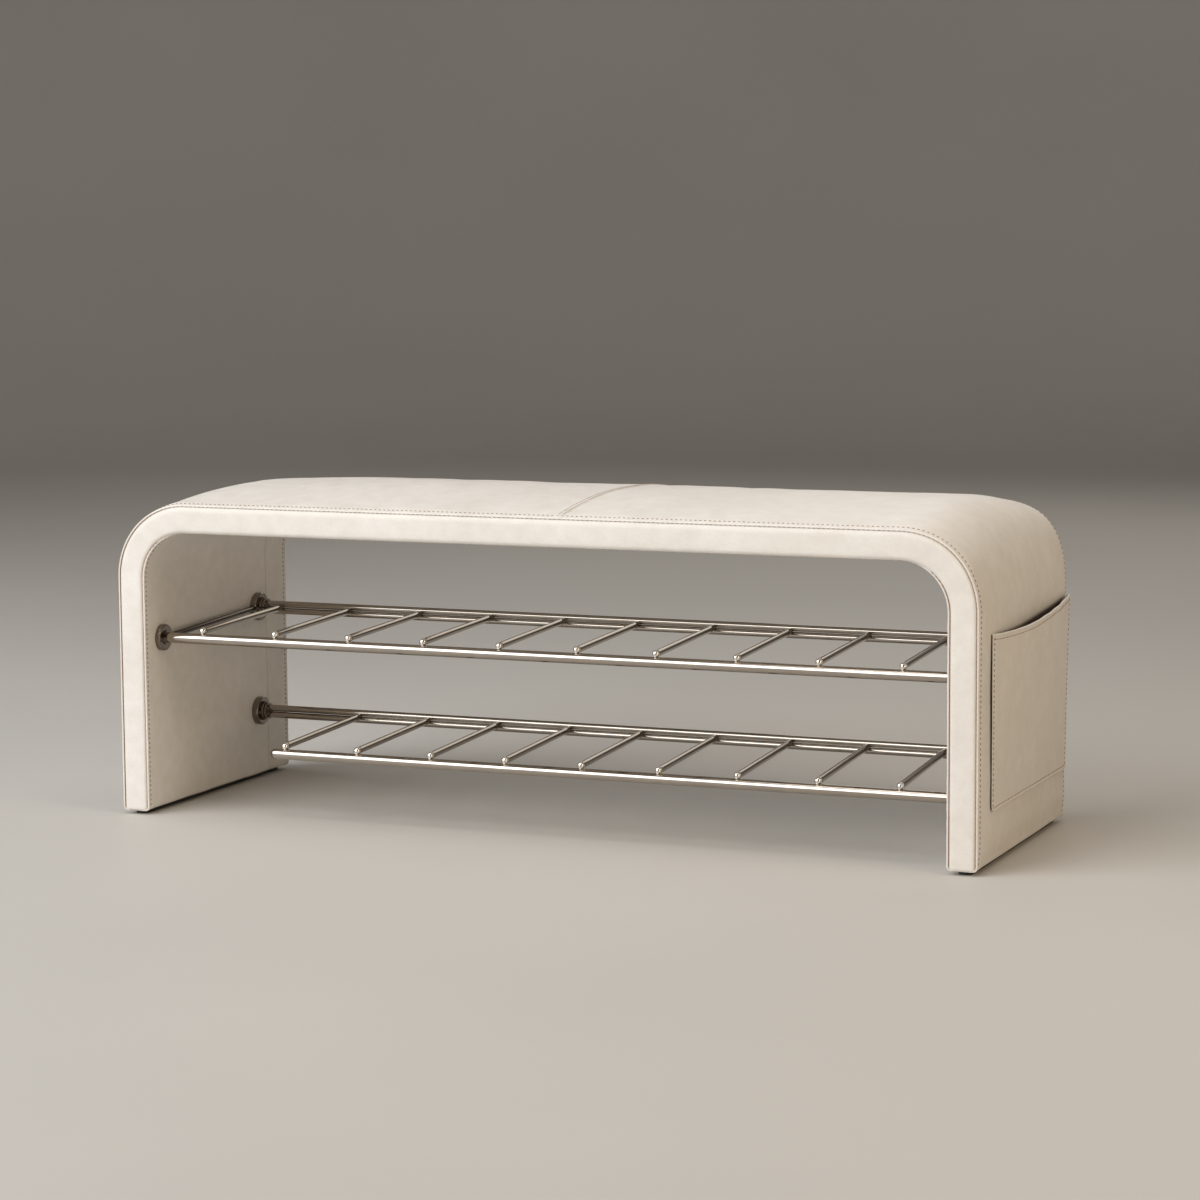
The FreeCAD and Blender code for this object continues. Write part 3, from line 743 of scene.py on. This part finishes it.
def sewn_leather():
    """A fine grid of how far the simulated leather puckers out or in, without its longest waves."""
    line = COVER_LINE
    run = np.linspace(0, line.length, int(line.length / CLOTH_STEP) + 1)
    y = np.linspace(-SEAM_Y, SEAM_Y, int(2 * SEAM_Y / CLOTH_STEP) + 1)
    across = np.broadcast_to(y, (len(run), len(y)))
    start = line.skin(run, across, crown(line, run, across), "outer")
    cloth = cloth_rig("sewn_leather", start)
    for number in range(1, CLOTH_FRAMES + 1):
        bpy.context.scene.frame_set(number)
    end = np.empty(start.size, np.float32)
    shown = cloth.evaluated_get(bpy.context.evaluated_depsgraph_get())
    shown.data.vertices.foreach_get("co", end)
    moved = np.einsum("ijk,ik->ij", end.reshape(start.shape) - start, line.frame(run)[1])
    bpy.data.meshes.remove(cloth.data)
    bpy.context.scene.frame_set(1)
    pucker = np.clip(PUCKER_SHARE * (moved - blurred(moved, PUCKER_REACH)), -PUCKER_CAP, PUCKER_CAP)
    down = np.linspace(0, 1, PUCKER_FINENESS * len(run))[:, None]
    over = np.linspace(0, 1, PUCKER_FINENESS * len(y))[None, :]
    return blurred(between(pucker, down + 0 * over, over + 0 * down), PUCKER_SMOOTHING)


PUCKER = sewn_leather()


def cover_lift(run, y):
    """The outside of the cover across its depth, without the cross seam."""
    line = COVER_LINE
    inset = SEAM_Y - np.abs(y)
    wide = run[:, None] + 0 * y
    softness = COVER_SOFTNESS * ripple(3, COVER_WAVE, wide, y) * smooth_step(inset / COVER_CALM_EDGE)
    pucker = between(PUCKER, wide / line.length, (y + SEAM_Y) / (2 * SEAM_Y))
    return crown(line, run, y) + seam_edge_lift(line, run, inset, 11) + softness + pucker


def lap_lift(before_edge):
    """Height of the folded lap, by the distance back from its edge."""
    roll = np.sqrt(np.clip(1 - (1 - np.clip(before_edge / LAP_ROLL, 0, 1)) ** 2, 0, 1))
    body = LAP_RISE * roll * smooth_step((LAP_WIDTH + LAP_FADE - before_edge) / LAP_FADE)
    ridge = LAP_RIDGE * dip(before_edge - (LAP_NEAR_ROW + LAP_FAR_ROW) / 2, LAP_RIDGE_WIDTH)
    near_row = dip(before_edge - LAP_NEAR_ROW, LAP_ROW_WIDTH)
    rows = near_row + dip(before_edge - LAP_FAR_ROW, LAP_ROW_WIDTH)
    return body + ridge - ROW_DEPTH * rows


LAP_EDGE_RUN = COVER_LINE.run_at_x(CROSS_SEAM_X + LAP_PAST_SEAM)


def left_cover_lift(run, y):
    return cover_lift(run, y) + lap_lift(LAP_EDGE_RUN - run)[:, None]


def right_cover_lift(run, y):
    sink = LAP_SINK * smooth_step((LAP_EDGE_RUN + LAP_SINK_REACH - run) / LAP_SINK_REACH)
    return cover_lift(run, y) - sink[:, None]


def cover_panel(name, run, lift_of, cad_nodes):
    """A padded cover: leather with rolled lips at the front and the back, over foam, flat below."""
    line = COVER_LINE
    middle = -SEAM_Y + insets_to(SEAM_Y, 22)
    y = np.concatenate([middle, -middle[-2::-1]])
    top = lift_of(run, np.broadcast_to(y, (len(run), len(y))))
    edge_y = np.full((len(run), 1), -SEAM_Y)
    rise = lift_of(run, edge_y)[:, 0]
    inset, lip = rolled_lip(rise, np.full(len(run), LIP_FRONT))
    under_y = np.array([6.0, 6.4, 60.0]) * MM
    under = np.concatenate([SEAM_Y - under_y, -(SEAM_Y - under_y)[::-1]])
    under_lift = np.array([-LIP_DROP] + [-PAD_DEPTH] * 4 + [-LIP_DROP])
    ones = np.ones((len(run), 1))
    across = np.hstack([-SEAM_Y + inset, ones * y, (SEAM_Y - inset)[:, ::-1], ones * under])
    lift = np.hstack([lip, top, lip[:, ::-1], ones * under_lift])
    rows = ROW_TINT * dip(SEAM_Y - np.abs(y) - ROW_INSET, ROW_WIDTH)
    ditch = groove_share(line, run, LIP_GROOVE_SEAT, LIP_GROOVE_LEG)
    groove = np.hstack([ditch, ones * rows, ditch[:, ::-1], np.ones((len(run), len(under)))])
    skin = line.skin(run, across, lift, "outer")
    # The leg's leather under the pocket is painted dark as shade
    made = closed_skin(name, skin, CREAM_LEATHER, groove, painted_pocket_shade(skin))
    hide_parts(*cad_nodes)


# Distances of the closest stations from the edge of the lap, in mm: back on it and on under it
LAP_STEPS = np.array([
    0, 0.1, 0.3, 0.6, 1, 1.5, 2.2, 2.9, 3.6, 4.4, 5.2, 6.2, 6.9, 7.6, 8.3, 10, 12, 15,
])
UNDER_LAP_STEPS = np.array([-0.5, 0.3, 1.0, 2.0, 3.0, 4.2, 6.0])


def covers():
    line = COVER_LINE
    near_lap = LAP_EDGE_RUN - LAP_STEPS * MM
    left = np.concatenate([line.stations(WHOLE[0], near_lap[-1])[:-1], near_lap[::-1]])
    left_nodes = ["left_cover", "left_side_foam", "seat_foam"]
    cover_panel("left_cover_leather", left, left_cover_lift, left_nodes)
    under_lap = LAP_EDGE_RUN + UNDER_LAP_STEPS * MM
    right = np.concatenate([under_lap, line.stations(under_lap[-1], WHOLE[1])[1:]])
    cover_panel("right_cover_leather", right, right_cover_lift, ["right_cover", "right_side_foam"])


def lining_lift(run, y):
    line = LINING_LINE
    inset = SEAM_Y - np.abs(y)
    softness = LINING_SOFTNESS * ripple(21, LINING_WAVE, run[:, None] + 0 * y, y) - LINING_SLACK
    seam = -LINING_SEAM_DEPTH * dip(y - LINING_SEAM_Y, LINING_SEAM_WIDTH)
    edge = seam_edge_lift(line, run, inset, 23)
    return edge + seam + softness * smooth_step(inset / LINING_CALM_EDGE)


def lining_panel(name, run, front, back, cad_nodes):
    """A lining panel between two depths, with a lip wherever it ends at a band."""
    line = LINING_LINE
    has_front_lip = front <= -SEAM_Y
    count = max(int((back - front) / (12 * MM)), 4)
    ones = np.ones((len(run), 1))
    rise = lining_lift(run, ones * -SEAM_Y)[:, 0]
    front_of_lip = LIP_FRONT + (LIP_FRONT_UNDER_SEAT - LIP_FRONT) * line.seat_share(run)
    inset, lip = rolled_lip(rise, front_of_lip)
    seam_steps = np.array([0.0, 0.4, 0.9, 1.6, 2.6, 4.0]) * MM
    middle = np.linspace(EDGE_INSETS[-1], back - front - 6 * MM, count)
    from_lip = np.concatenate([EDGE_INSETS[:-1], middle, (back - front) - seam_steps[::-1]])
    set_back = np.clip(-front_of_lip, 0, None)[:, None]
    from_lip = from_lip + set_back * dip(from_lip, 8 * MM)
    y = front + from_lip if has_front_lip else back - from_lip[:, ::-1]
    top = lining_lift(run, y)
    ends = (0.4 * MM, 7 * MM) if has_front_lip else (7 * MM, 0.4 * MM)
    under = np.array([back - ends[0], front + ends[1]])
    under_lift = np.full((len(run), 2), -LINING_DEPTH)
    seam_row = LINING_SEAM_PAINTED_SHADE * dip(y - LINING_SEAM_Y, LINING_SEAM_PAINTED_SHADE_WIDTH)
    rows = ROW_TINT * dip(SEAM_Y - np.abs(y) - ROW_INSET, ROW_WIDTH) + seam_row
    ditch = groove_share(line, run, LIP_GROOVE_SEAT, LIP_GROOVE_LEG)
    if has_front_lip:
        across = np.hstack([-SEAM_Y + inset, y, ones * under])
        lift = np.hstack([lip, top, under_lift])
        groove = np.hstack([ditch, rows, ones, ones])
    else:
        across = np.hstack([y, (SEAM_Y - inset)[:, ::-1], ones * under])
        lift = np.hstack([top, lip[:, ::-1], under_lift])
        groove = np.hstack([rows, ditch[:, ::-1], ones, ones])
    made = closed_skin(name, line.skin(run, across, lift, "inner"), CREAM_LEATHER, groove)
    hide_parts(*cad_nodes)


def linings():
    run = LINING_LINE.stations(*WHOLE)
    lining_panel("lining_main_leather", run, -SEAM_Y, LINING_SEAM_Y, ["lining_main", "lining_foam"])
    lining_panel("lining_rear_leather", run, LINING_SEAM_Y, SEAM_Y, ["lining_rear"])


def band_lift(run, across):
    """The face of a band: puffed in the middle and creased a little round the corners."""
    line = BAND_LINE
    share = np.minimum(np.abs(across) / (BAND_WIDTH / 2), 1)
    puff = BAND_PUFF * (1 - share**4) + BAND_FORWARD
    bend = np.sin(2 * line.turn(run))[:, None]
    wide = run[:, None] + 0 * across
    softness = BAND_SOFTNESS * ripple(31, BAND_WAVE, wide, across)
    grain = BAND_GRAIN * ripple(33, BAND_GRAIN_WAVE, wide, across)
    more_inside = 0.6 - across / BAND_WIDTH
    creases = BAND_CREASE * bend * more_inside * ripple(35, BAND_CREASE_WAVE, wide, 0.25 * across)
    return puff + (softness + grain + creases) * (1 - share**6)


def band_panel(name, facing, cad_nodes):
    """A band with rolled edges. Under the seat its lower edge turns in below the lining."""
    line = BAND_LINE
    run = line.stations(*WHOLE)
    seat = line.seat_share(run)[:, None]
    angle = np.linspace(BAND_ROLL_START, math.pi / 2, BAND_ROLL_POINTS)[None, :]
    narrowing = math.cos(BAND_ROLL_START) - np.cos(angle)
    start = BAND_ROLL_START + BAND_ROLL_START_MORE_ON_SEAT * seat[:, 0]
    outer_angle = np.linspace(start, np.full_like(start, math.pi / 2), BAND_ROLL_POINTS, axis=1)
    outer_narrowing = np.cos(start)[:, None] - np.cos(outer_angle)
    outer = BAND_WIDTH / 2 - (BAND_ROLL_WIDTH + BAND_ROLL_MORE_ON_SEAT * seat) * outer_narrowing
    inner = BAND_WIDTH / 2 - BAND_ROLL_WIDTH * narrowing + BAND_UNDER_SEAT * seat
    outer_fall = BAND_ROLL_DEPTH * (1 - np.sin(outer_angle))
    inner_fall = (BAND_ROLL_DEPTH + BAND_UNDER_ROLL * seat) * (1 - np.sin(angle))
    share = np.linspace(0, 1, 19)[None, 1:-1]
    face = -inner[:, -1:] + (inner[:, -1:] + outer[:, -1:]) * share
    across = np.hstack([-inner, face, outer[:, ::-1]])
    fall = np.hstack([inner_fall, 0 * face, outer_fall[:, ::-1]])
    lift = band_lift(run, across) - fall
    across = np.hstack([across, outer[:, :1], -inner[:, :1]])
    lift = np.hstack([lift, np.full((len(run), 2), -BAND_DEPTH)])
    ditch = groove_share(line, run, BAND_GROOVE_SEAT, BAND_GROOVE_LEG)
    groove = np.hstack([ditch, 0 * face, ditch[:, ::-1], np.ones((len(run), 2))])
    made = closed_skin(name, line.skin(run, across, lift, facing), CREAM_LEATHER, groove)
    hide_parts(*cad_nodes)


# Stitching

def capsule():
    """One stitch along X, of unit length and unit radius, that dives into the leather at both ends."""
    sides = 6
    along = np.array([-0.5, -0.42, -0.2, 0.0, 0.2, 0.42, 0.5])
    width = np.array([0.45, 0.85, 1.0, 1.0, 1.0, 0.85, 0.45])
    rise = np.array([-1.1, -0.35, 0.25, 0.35, 0.25, -0.35, -1.1])
    angle = np.linspace(0, 2 * math.pi, sides, endpoint=False)
    rings = [
        np.stack([np.full(sides, a), w * np.cos(angle), r + w * np.sin(angle)], -1)
        for a, w, r in zip(along, width, rise)
    ]
    return np.concatenate(rings), tube_faces(len(along), sides) + end_caps(len(along), sides)


STITCH_POINTS, STITCH_FACES = capsule()


def spaced(points, outward, pitch):
    """Middles, directions and outward directions of stitches at an even pitch along some points."""
    steps = np.linalg.norm(np.diff(points, axis=0), axis=1)
    travelled = np.concatenate([[0], np.cumsum(steps)])
    count = int(travelled[-1] / pitch)
    at = (np.arange(count) + 0.5) * travelled[-1] / count

    def along(values, where):
        return np.stack([np.interp(where, travelled, values[:, k]) for k in range(3)], -1)

    ahead = along(points, at + pitch / 4) - along(points, at - pitch / 4)
    return along(points, at), ahead, along(outward, at)


def unit(vectors):
    return vectors / np.linalg.norm(vectors, axis=1, keepdims=True)


def stitches(name, rows, seed, radius=THREAD_RADIUS, pitch=STITCH_PITCH, length=STITCH_LENGTH):
    """All the stitches of some rows as one piece. A row is (points, outward directions)."""
    draw = np.random.default_rng(seed)
    all_points, all_faces = [], []
    for points, outward in rows:
        middle, ahead, out = spaced(points, outward, pitch)
        ahead = unit(ahead)
        out = unit(out - ahead * np.einsum("ij,ij->i", out, ahead)[:, None])
        side = np.cross(out, ahead)
        for m, a, s, o in zip(middle, ahead, side, out):
            slant = a + s * draw.normal(0, 0.05)
            long = length * draw.normal(1, 0.05)
            start = len(all_points) * len(STITCH_POINTS)
            body = m + STITCH_POINTS[:, :1] * long * slant
            body = body + STITCH_POINTS[:, 1:2] * radius * s + STITCH_POINTS[:, 2:] * radius * o
            all_points.append(body)
            all_faces.extend([start + j for j in face] for face in STITCH_FACES)
    piece(name, np.concatenate(all_points), all_faces, TAN_THREAD)


def surface_row(line, run, y, lift_of, facing):
    """A row along a panel, with the outward directions of the panel there."""
    ones = np.ones((len(run), 1))
    across = np.hstack([ones * y, ones * (y - MM), ones * (y + MM)])
    lift = lift_of(run, across)
    points = line.skin(run, across, lift, facing)
    along = np.gradient(points[:, 0], axis=0)
    outward = np.cross(along, points[:, 2] - points[:, 1])
    _, direction = line.frame(run)
    sign = 1.0 if facing == "outer" else -1.0
    outward *= np.sign(np.einsum("ij,ij->i", outward, direction * sign))[:, None]
    return points[:, 0], outward


def panel_stitching():
    cover_rows = []
    lining_rows = []
    left = np.arange(0, LAP_EDGE_RUN - LAP_WIDTH, STATION)
    right = np.arange(LAP_EDGE_RUN + 2 * MM, COVER_LINE.length, STATION)
    inner = np.arange(0, LINING_LINE.length, STATION)
    for y in (ROW_INSET - SEAM_Y, SEAM_Y - ROW_INSET):
        cover_rows.append(surface_row(COVER_LINE, left, y, left_cover_lift, "outer"))
        cover_rows.append(surface_row(COVER_LINE, right, y, right_cover_lift, "outer"))
        lining_rows.append(surface_row(LINING_LINE, inner, y, lining_lift, "inner"))
    stitches("cover_stitching", cover_rows, 41)
    stitches("lining_stitching", lining_rows, 43)


def groove_stitching():
    """Stitches in the grooves between the bands and the lips. The lower edge of the seat shows none."""
    for facing, sign, seed in (("front", -1.0, 45), ("back", 1.0, 47)):
        rows = []
        for height in (-LIP_DROP, LIP_DROP - SHELL):
            line = ArchLine(height, BAND_FOOT_ROUND)
            run = np.arange(0, line.length, STATION)
            flat = np.zeros((len(run), 1))
            points = line.skin(run, flat, flat - SUNK_THREAD_DEPTH, facing)[:, 0]
            outward = np.tile([0.0, sign, 0.0], (len(run), 1))
            shows = (height == -LIP_DROP) | (line.seat_share(run) < SUNK_THREAD_SEAT_SHARE)
            for part in np.split(np.arange(len(run)), np.flatnonzero(np.diff(shows.astype(int))) + 1):
                if shows[part[0]]:
                    rows.append((points[part], outward[part]))
        stitches(f"{facing}_groove_stitching", rows, seed, SUNK_THREAD_RADIUS)


def cross_seam_stitching():
    rows = []
    y = np.linspace(-SEAM_Y + 2 * MM, SEAM_Y - 2 * MM, 240)
    for back_from_edge in (LAP_NEAR_ROW, LAP_FAR_ROW):
        run = LAP_EDGE_RUN - back_from_edge
        lift = left_cover_lift(np.array([run]), y[None, :])
        points = COVER_LINE.skin(np.array([run]), y[None, :], lift, "outer")[0]
        slope = np.gradient(points[:, 2], points[:, 1])
        outward = np.stack([0 * y, -slope, np.ones_like(y)], -1)
        rows.append((points, outward))
    stitches("cross_seam_stitching", rows, 49, THREAD_RADIUS, SHORT_STITCH_PITCH, SHORT_STITCH_LENGTH)


# Side pocket

POCKET_SEWN_GAPE = 0.3 * MM
POCKET_LEATHER = 2.0 * MM
POCKET_EDGE = 1.2 * MM
POCKET_EDGE_LIFT = 1.2 * MM
POCKET_HEM_RADIUS = 1.7 * MM
POCKET_CORNER = 8 * MM
POCKET_SIDE_ROW = 7 * MM
POCKET_BOTTOM_ROW = 4.2 * MM
POCKET_HEM_ROW = 5.5 * MM
POCKET_ROW_DEPTH = 0.2 * MM
POCKET_BOW_SKEW = 1.1
POCKET_FLARE = 1.3
POCKET_THINNEST = 0.4
LEG_FACE_X = POCKET_LOW.x


def pocket_foot(across):
    """Height of the pocket's bottom edge, which is rounded at both corners."""
    near = np.minimum(across, 1 - across) * POCKET_WIDTH
    short = np.clip(POCKET_CORNER - near, 0, POCKET_CORNER)
    return POCKET_LOW.z + POCKET_CORNER - np.sqrt(POCKET_CORNER**2 - short**2)


def pocket_gape(across, up):
    """Room between the pocket and the leg: most at the mouth, and some left at the rear edge there."""
    bow = 1 - (2 * across**POCKET_BOW_SKEW - 1) ** 2
    rear = POCKET_REAR_GAPE * across**4
    mouth = (POCKET_GAPE - rear) * bow + rear
    return POCKET_SEWN_GAPE + mouth * up**POCKET_FLARE


def pocket_from_edge(across, up):
    """Distance from the nearer of the front and the bottom edge, which are the free edges."""
    from_front = across * POCKET_WIDTH
    from_foot = up * (pocket_mouth(across) - pocket_foot(across))
    return np.minimum(from_front, from_foot)


def pocket_out(across, up):
    """How far the outside of the pocket stands off the leg's face."""
    near_side = np.minimum(across, 1 - across) * POCKET_WIDTH
    side_row = dip(near_side - POCKET_SIDE_ROW, ROW_WIDTH)
    bottom_row = dip(up * POCKET_TALL - POCKET_BOTTOM_ROW, ROW_WIDTH)
    hem_row = dip((1 - up) * POCKET_TALL - POCKET_HEM_ROW, ROW_WIDTH)
    rows = np.maximum(np.maximum(side_row, bottom_row), hem_row)
    soft = POCKET_SOFTNESS * ripple(51, POCKET_WAVE, across * POCKET_WIDTH, up * POCKET_TALL)
    soft = soft * up * smooth_step(near_side / POCKET_CALM_EDGE)
    edge = POCKET_EDGE_LIFT * smooth_step(1 - pocket_from_edge(across, up) / POCKET_BOTTOM_ROW)
    return POCKET_LEATHER + pocket_gape(across, up) + edge + soft - POCKET_ROW_DEPTH * rows


def pocket_point(across, up, out):
    foot = pocket_foot(across)
    z = foot + (pocket_mouth(across) - foot) * up
    y = POCKET_FRONT + POCKET_WIDTH * across
    return np.stack(np.broadcast_arrays(LEG_FACE_X + out, y, z), -1)


def even_with_edges(near, count):
    """Shares from 0 to 1 with extra ones near both ends."""
    return np.concatenate([near, np.linspace(near[-1], 1 - near[-1], count)[1:-1], 1 - near[::-1]])


def edge_trim(across, up):
    """How much each side of the leather gives way to round a free edge."""
    share = np.clip(1 - pocket_from_edge(across, up) / POCKET_EDGE, 0, 1)
    return POCKET_LEATHER / 2 * (1 - np.maximum(np.sqrt(1 - share**2), POCKET_THINNEST))


# Distances of the closest points from the pocket's sides, foot and hem, in mm
SIDE_STEPS = np.array([0, 0.15, 0.5, 1.0, 1.8, 3.0, 5.0, 6.5, 7.3, 8.0, 8.7, 9.6, 12, 16])
FOOT_STEPS = np.array([0.0, 0.2, 0.5, 1.0, 1.6, 2.4, 3.2, 3.8, 4.2, 4.6, 5.2, 6.5, 9.0, 13])
HEM_STEPS = np.array([16, 12, 9.5, 7.6, 6.6, 6.0, 5.5, 5.0, 4.4, 3.4, 2.2, 1.0, 0.0])


def pocket():
    """The pocket, with rounded free edges at front and bottom. Its rear edge turns in to the leg."""
    across = even_with_edges(SIDE_STEPS * MM / POCKET_WIDTH, 52)
    foot_steps = FOOT_STEPS * MM / POCKET_TALL
    hem_steps = HEM_STEPS * MM / POCKET_TALL
    between_rows = np.linspace(foot_steps[-1], 1 - hem_steps[0], 34)[1:-1]
    up = np.concatenate([foot_steps, between_rows, 1 - hem_steps])
    column = across[:, None]
    near_side = np.minimum(column, 1 - column) * POCKET_WIDTH
    inside_up = np.concatenate([np.linspace(1, 0.05, 14), foot_steps[5::-1]])[None, :]
    edge = POCKET_EDGE + np.where(column > 0.5, POCKET_REAR_GAPE, 0.0)
    thin = np.sqrt(np.clip(1 - (1 - np.clip(near_side / edge, 0.02, 1)) ** 2, 0, 1))
    turn_in = np.where(column > 0.5, thin, 1.0)
    outside_out = pocket_out(column, up[None, :]) * turn_in - edge_trim(column, up[None, :])
    outside = pocket_point(column, up[None, :], outside_out)
    inside_out = pocket_out(column, inside_up) - POCKET_LEATHER + 0.1 * MM
    inside_out = inside_out * turn_in + edge_trim(column, inside_up)
    inside = pocket_point(column, inside_up + 0 * column, inside_out)
    angle = np.linspace(0, math.pi, HEM_POINTS)[None, :]
    middle = (outside[:, -1:] + inside[:, :1]) / 2
    hem = np.repeat(middle, HEM_POINTS, axis=1)
    hem[..., 0] += (POCKET_HEM_RADIUS * thin) * np.cos(angle)
    hem[..., 2] += (POCKET_HEM_RADIUS * thin) * np.sin(angle)
    loops = np.concatenate([outside[:, :-1], hem, inside[:, 1:]], axis=1)
    outer_count = len(up) + HEM_POINTS - 3
    # The pocket's inside faces are painted dark as shade
    painted_shade = np.concatenate([np.zeros(outer_count), np.ones(inside_up.size + 1)])
    made = closed_skin("side_pocket_leather", loops, CREAM_LEATHER, inside=painted_shade)
    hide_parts("side_pocket")


def pocket_row(across, up):
    points = pocket_point(across, up, pocket_out(across, up))
    return points, np.tile([1.0, 0.0, 0.0], (len(points), 1))


def pocket_stitching():
    side = POCKET_SIDE_ROW / POCKET_WIDTH
    bottom = POCKET_BOTTOM_ROW / POCKET_TALL
    hem = 1 - POCKET_HEM_ROW / POCKET_TALL
    climb = np.linspace(bottom, 1 - 1.5 * MM / POCKET_TALL, 120)
    sweep = np.linspace(side, 1 - side, 160)
    rows = [
        pocket_row(side + 0 * climb, climb),
        pocket_row(1 - side + 0 * climb, climb),
        pocket_row(sweep, bottom + 0 * sweep),
        pocket_row(sweep, hem + 0 * sweep),
    ]
    stitches("pocket_stitching", rows, 53)


# Finishes of the nodes that stay as they are

def dress(material, names):
    for name in names:
        node = NODES[name]
        node.data.materials.clear()
        node.data.materials.append(material)


def ending(*ends):
    return [name for name in NODES if name.endswith(ends)]


def dress_frame():
    dress(NICKEL_ALONG_X, ending("_rail"))
    dress(NICKEL_ALONG_Y, [name for name in NODES if "_slat_" in name])
    # End rod in the nickel painted dark as shade
    dress(SHADED_NICKEL_END_ROD, ["upper_end_rod"])
    dress(NICKEL_TURNED, ending("_flange") + ["lower_rail_end_cap"])
    dress(BLACK_PLASTIC, ["left_foot_runner", "right_foot_runner"])
    dress(BIRCH_PLY, ending("_board", "_block") + ["frame_dowels"])
    dress(ZINC_STEEL, ["foot_screws", "flange_studs", "stud_inserts", "rail_end_plugs"])


# Stage, light and camera

STAGE_FLAT = 6.0
STAGE_RISE = 3.0
STAGE_SIDES = 96


def studio_floor():
    finish = Finish("studio_floor")
    drift = finish.noise(0.9, 3.0)
    colour = finish.mix(drift, paint(192, 188, 182), paint(202, 198, 192))
    return finish.surface({"Base Color": colour, "Roughness": 0.62 + (drift - 0.5) * 0.1})


def stage():
    """A round floor that curves up into a wall on all sides."""
    angle = np.linspace(0, math.pi / 2, 13)
    rise = STAGE_FLAT + STAGE_RISE * np.sin(angle)
    reach = np.concatenate([[0.05, 1.0, 2.5], rise, rise[-1:]])
    height = np.concatenate([[0.0, 0.0, 0.0], STAGE_RISE * (1 - np.cos(angle)), [2.5 * STAGE_RISE]])
    around = np.linspace(0, 2 * math.pi, STAGE_SIDES, endpoint=False)
    circle = np.stack([np.cos(around), np.sin(around), 0 * around], -1)
    rings = [r * circle + np.array([0.0, 0.0, h]) for r, h in zip(reach, height)]
    faces = tube_faces(len(reach), STAGE_SIDES) + end_caps(len(reach), STAGE_SIDES)[:1]
    made = smooth_object("studio", np.concatenate(rings), faces, studio_floor())


LAMP_TARGET = (0.0, 0.0, 0.25)
# Name, place, size, power and colour of each lamp
LAMPS = [
    ("key", (-2.7, -3.65, 2.7), (5.0, 4.2), 278, (0.95, 0.975, 1.0)),
    ("fill", (2.5, -0.9, 1.7), (1.2, 1.2), 15, (1.0, 0.79, 0.54)),
    ("low_fill", (3.4, -2.6, 0.6), (1.4, 0.8), 13, (1.0, 0.80, 0.56)),
    ("left", (-3.0, 0.3, 2.2), (1.2, 1.2), 12, (0.95, 0.98, 1.0)),
    ("top", (0.4, -0.6, 3.2), (2.8, 1.2), 34.5, (1.0, 0.98, 0.96)),
    ("back", (0.2, 4.4, 2.25), (3.4, 1.6), 19, (1.0, 0.94, 0.86)),
]


def soft_lamp(name, place, size, power, colour):
    lamp = bpy.data.lights.new(name, "AREA")
    lamp.shape = "RECTANGLE"
    lamp.size, lamp.size_y = size
    lamp.energy = power
    lamp.color = colour
    made = placed(name, lamp)
    made.location = place
    away = made.location.copy()
    for axis in range(3):
        away[axis] -= LAMP_TARGET[axis]
    made.rotation_mode = "QUATERNION"
    made.rotation_quaternion = away.to_track_quat("Z", "Y")


def light():
    for lamp in LAMPS:
        soft_lamp(*lamp)
    world = bpy.data.worlds.new("studio_air")
    bpy.context.scene.world = world
    world.use_nodes = True
    air = world.node_tree.nodes["Background"].inputs
    air["Color"].default_value = (1.0, 0.87, 0.70, 1.0)
    air["Strength"].default_value = 0.10


CAMERA_PLACE = (1.739353, -4.062732, 0.827691)
CAMERA_YAW = math.radians(22.952)
CAMERA_PITCH = math.radians(6.911)
CAMERA_ROLL = math.radians(-0.4)
CAMERA_LENS = 100.72
SENSOR = 36.0


def camera():
    data = bpy.data.cameras.new("camera")
    data.sensor_width = SENSOR
    data.lens = CAMERA_LENS
    made = placed("camera", data)
    made.location = CAMERA_PLACE
    made.rotation_euler = (math.pi / 2 - CAMERA_PITCH, 0.0, CAMERA_YAW)
    bpy.context.view_layer.update()
    made.rotation_euler.rotate_axis("Z", CAMERA_ROLL)
    bpy.context.scene.camera = made
    bpy.context.scene.view_settings.view_transform = "Standard"


covers()
linings()
band_panel("front_band_leather", "front", ["front_band", "front_edge_foam"])
band_panel("back_band_leather", "back", ["back_band", "back_edge_foam"])
panel_stitching()
groove_stitching()
cross_seam_stitching()
pocket()
pocket_stitching()
dress_frame()
stage()
light()
camera()
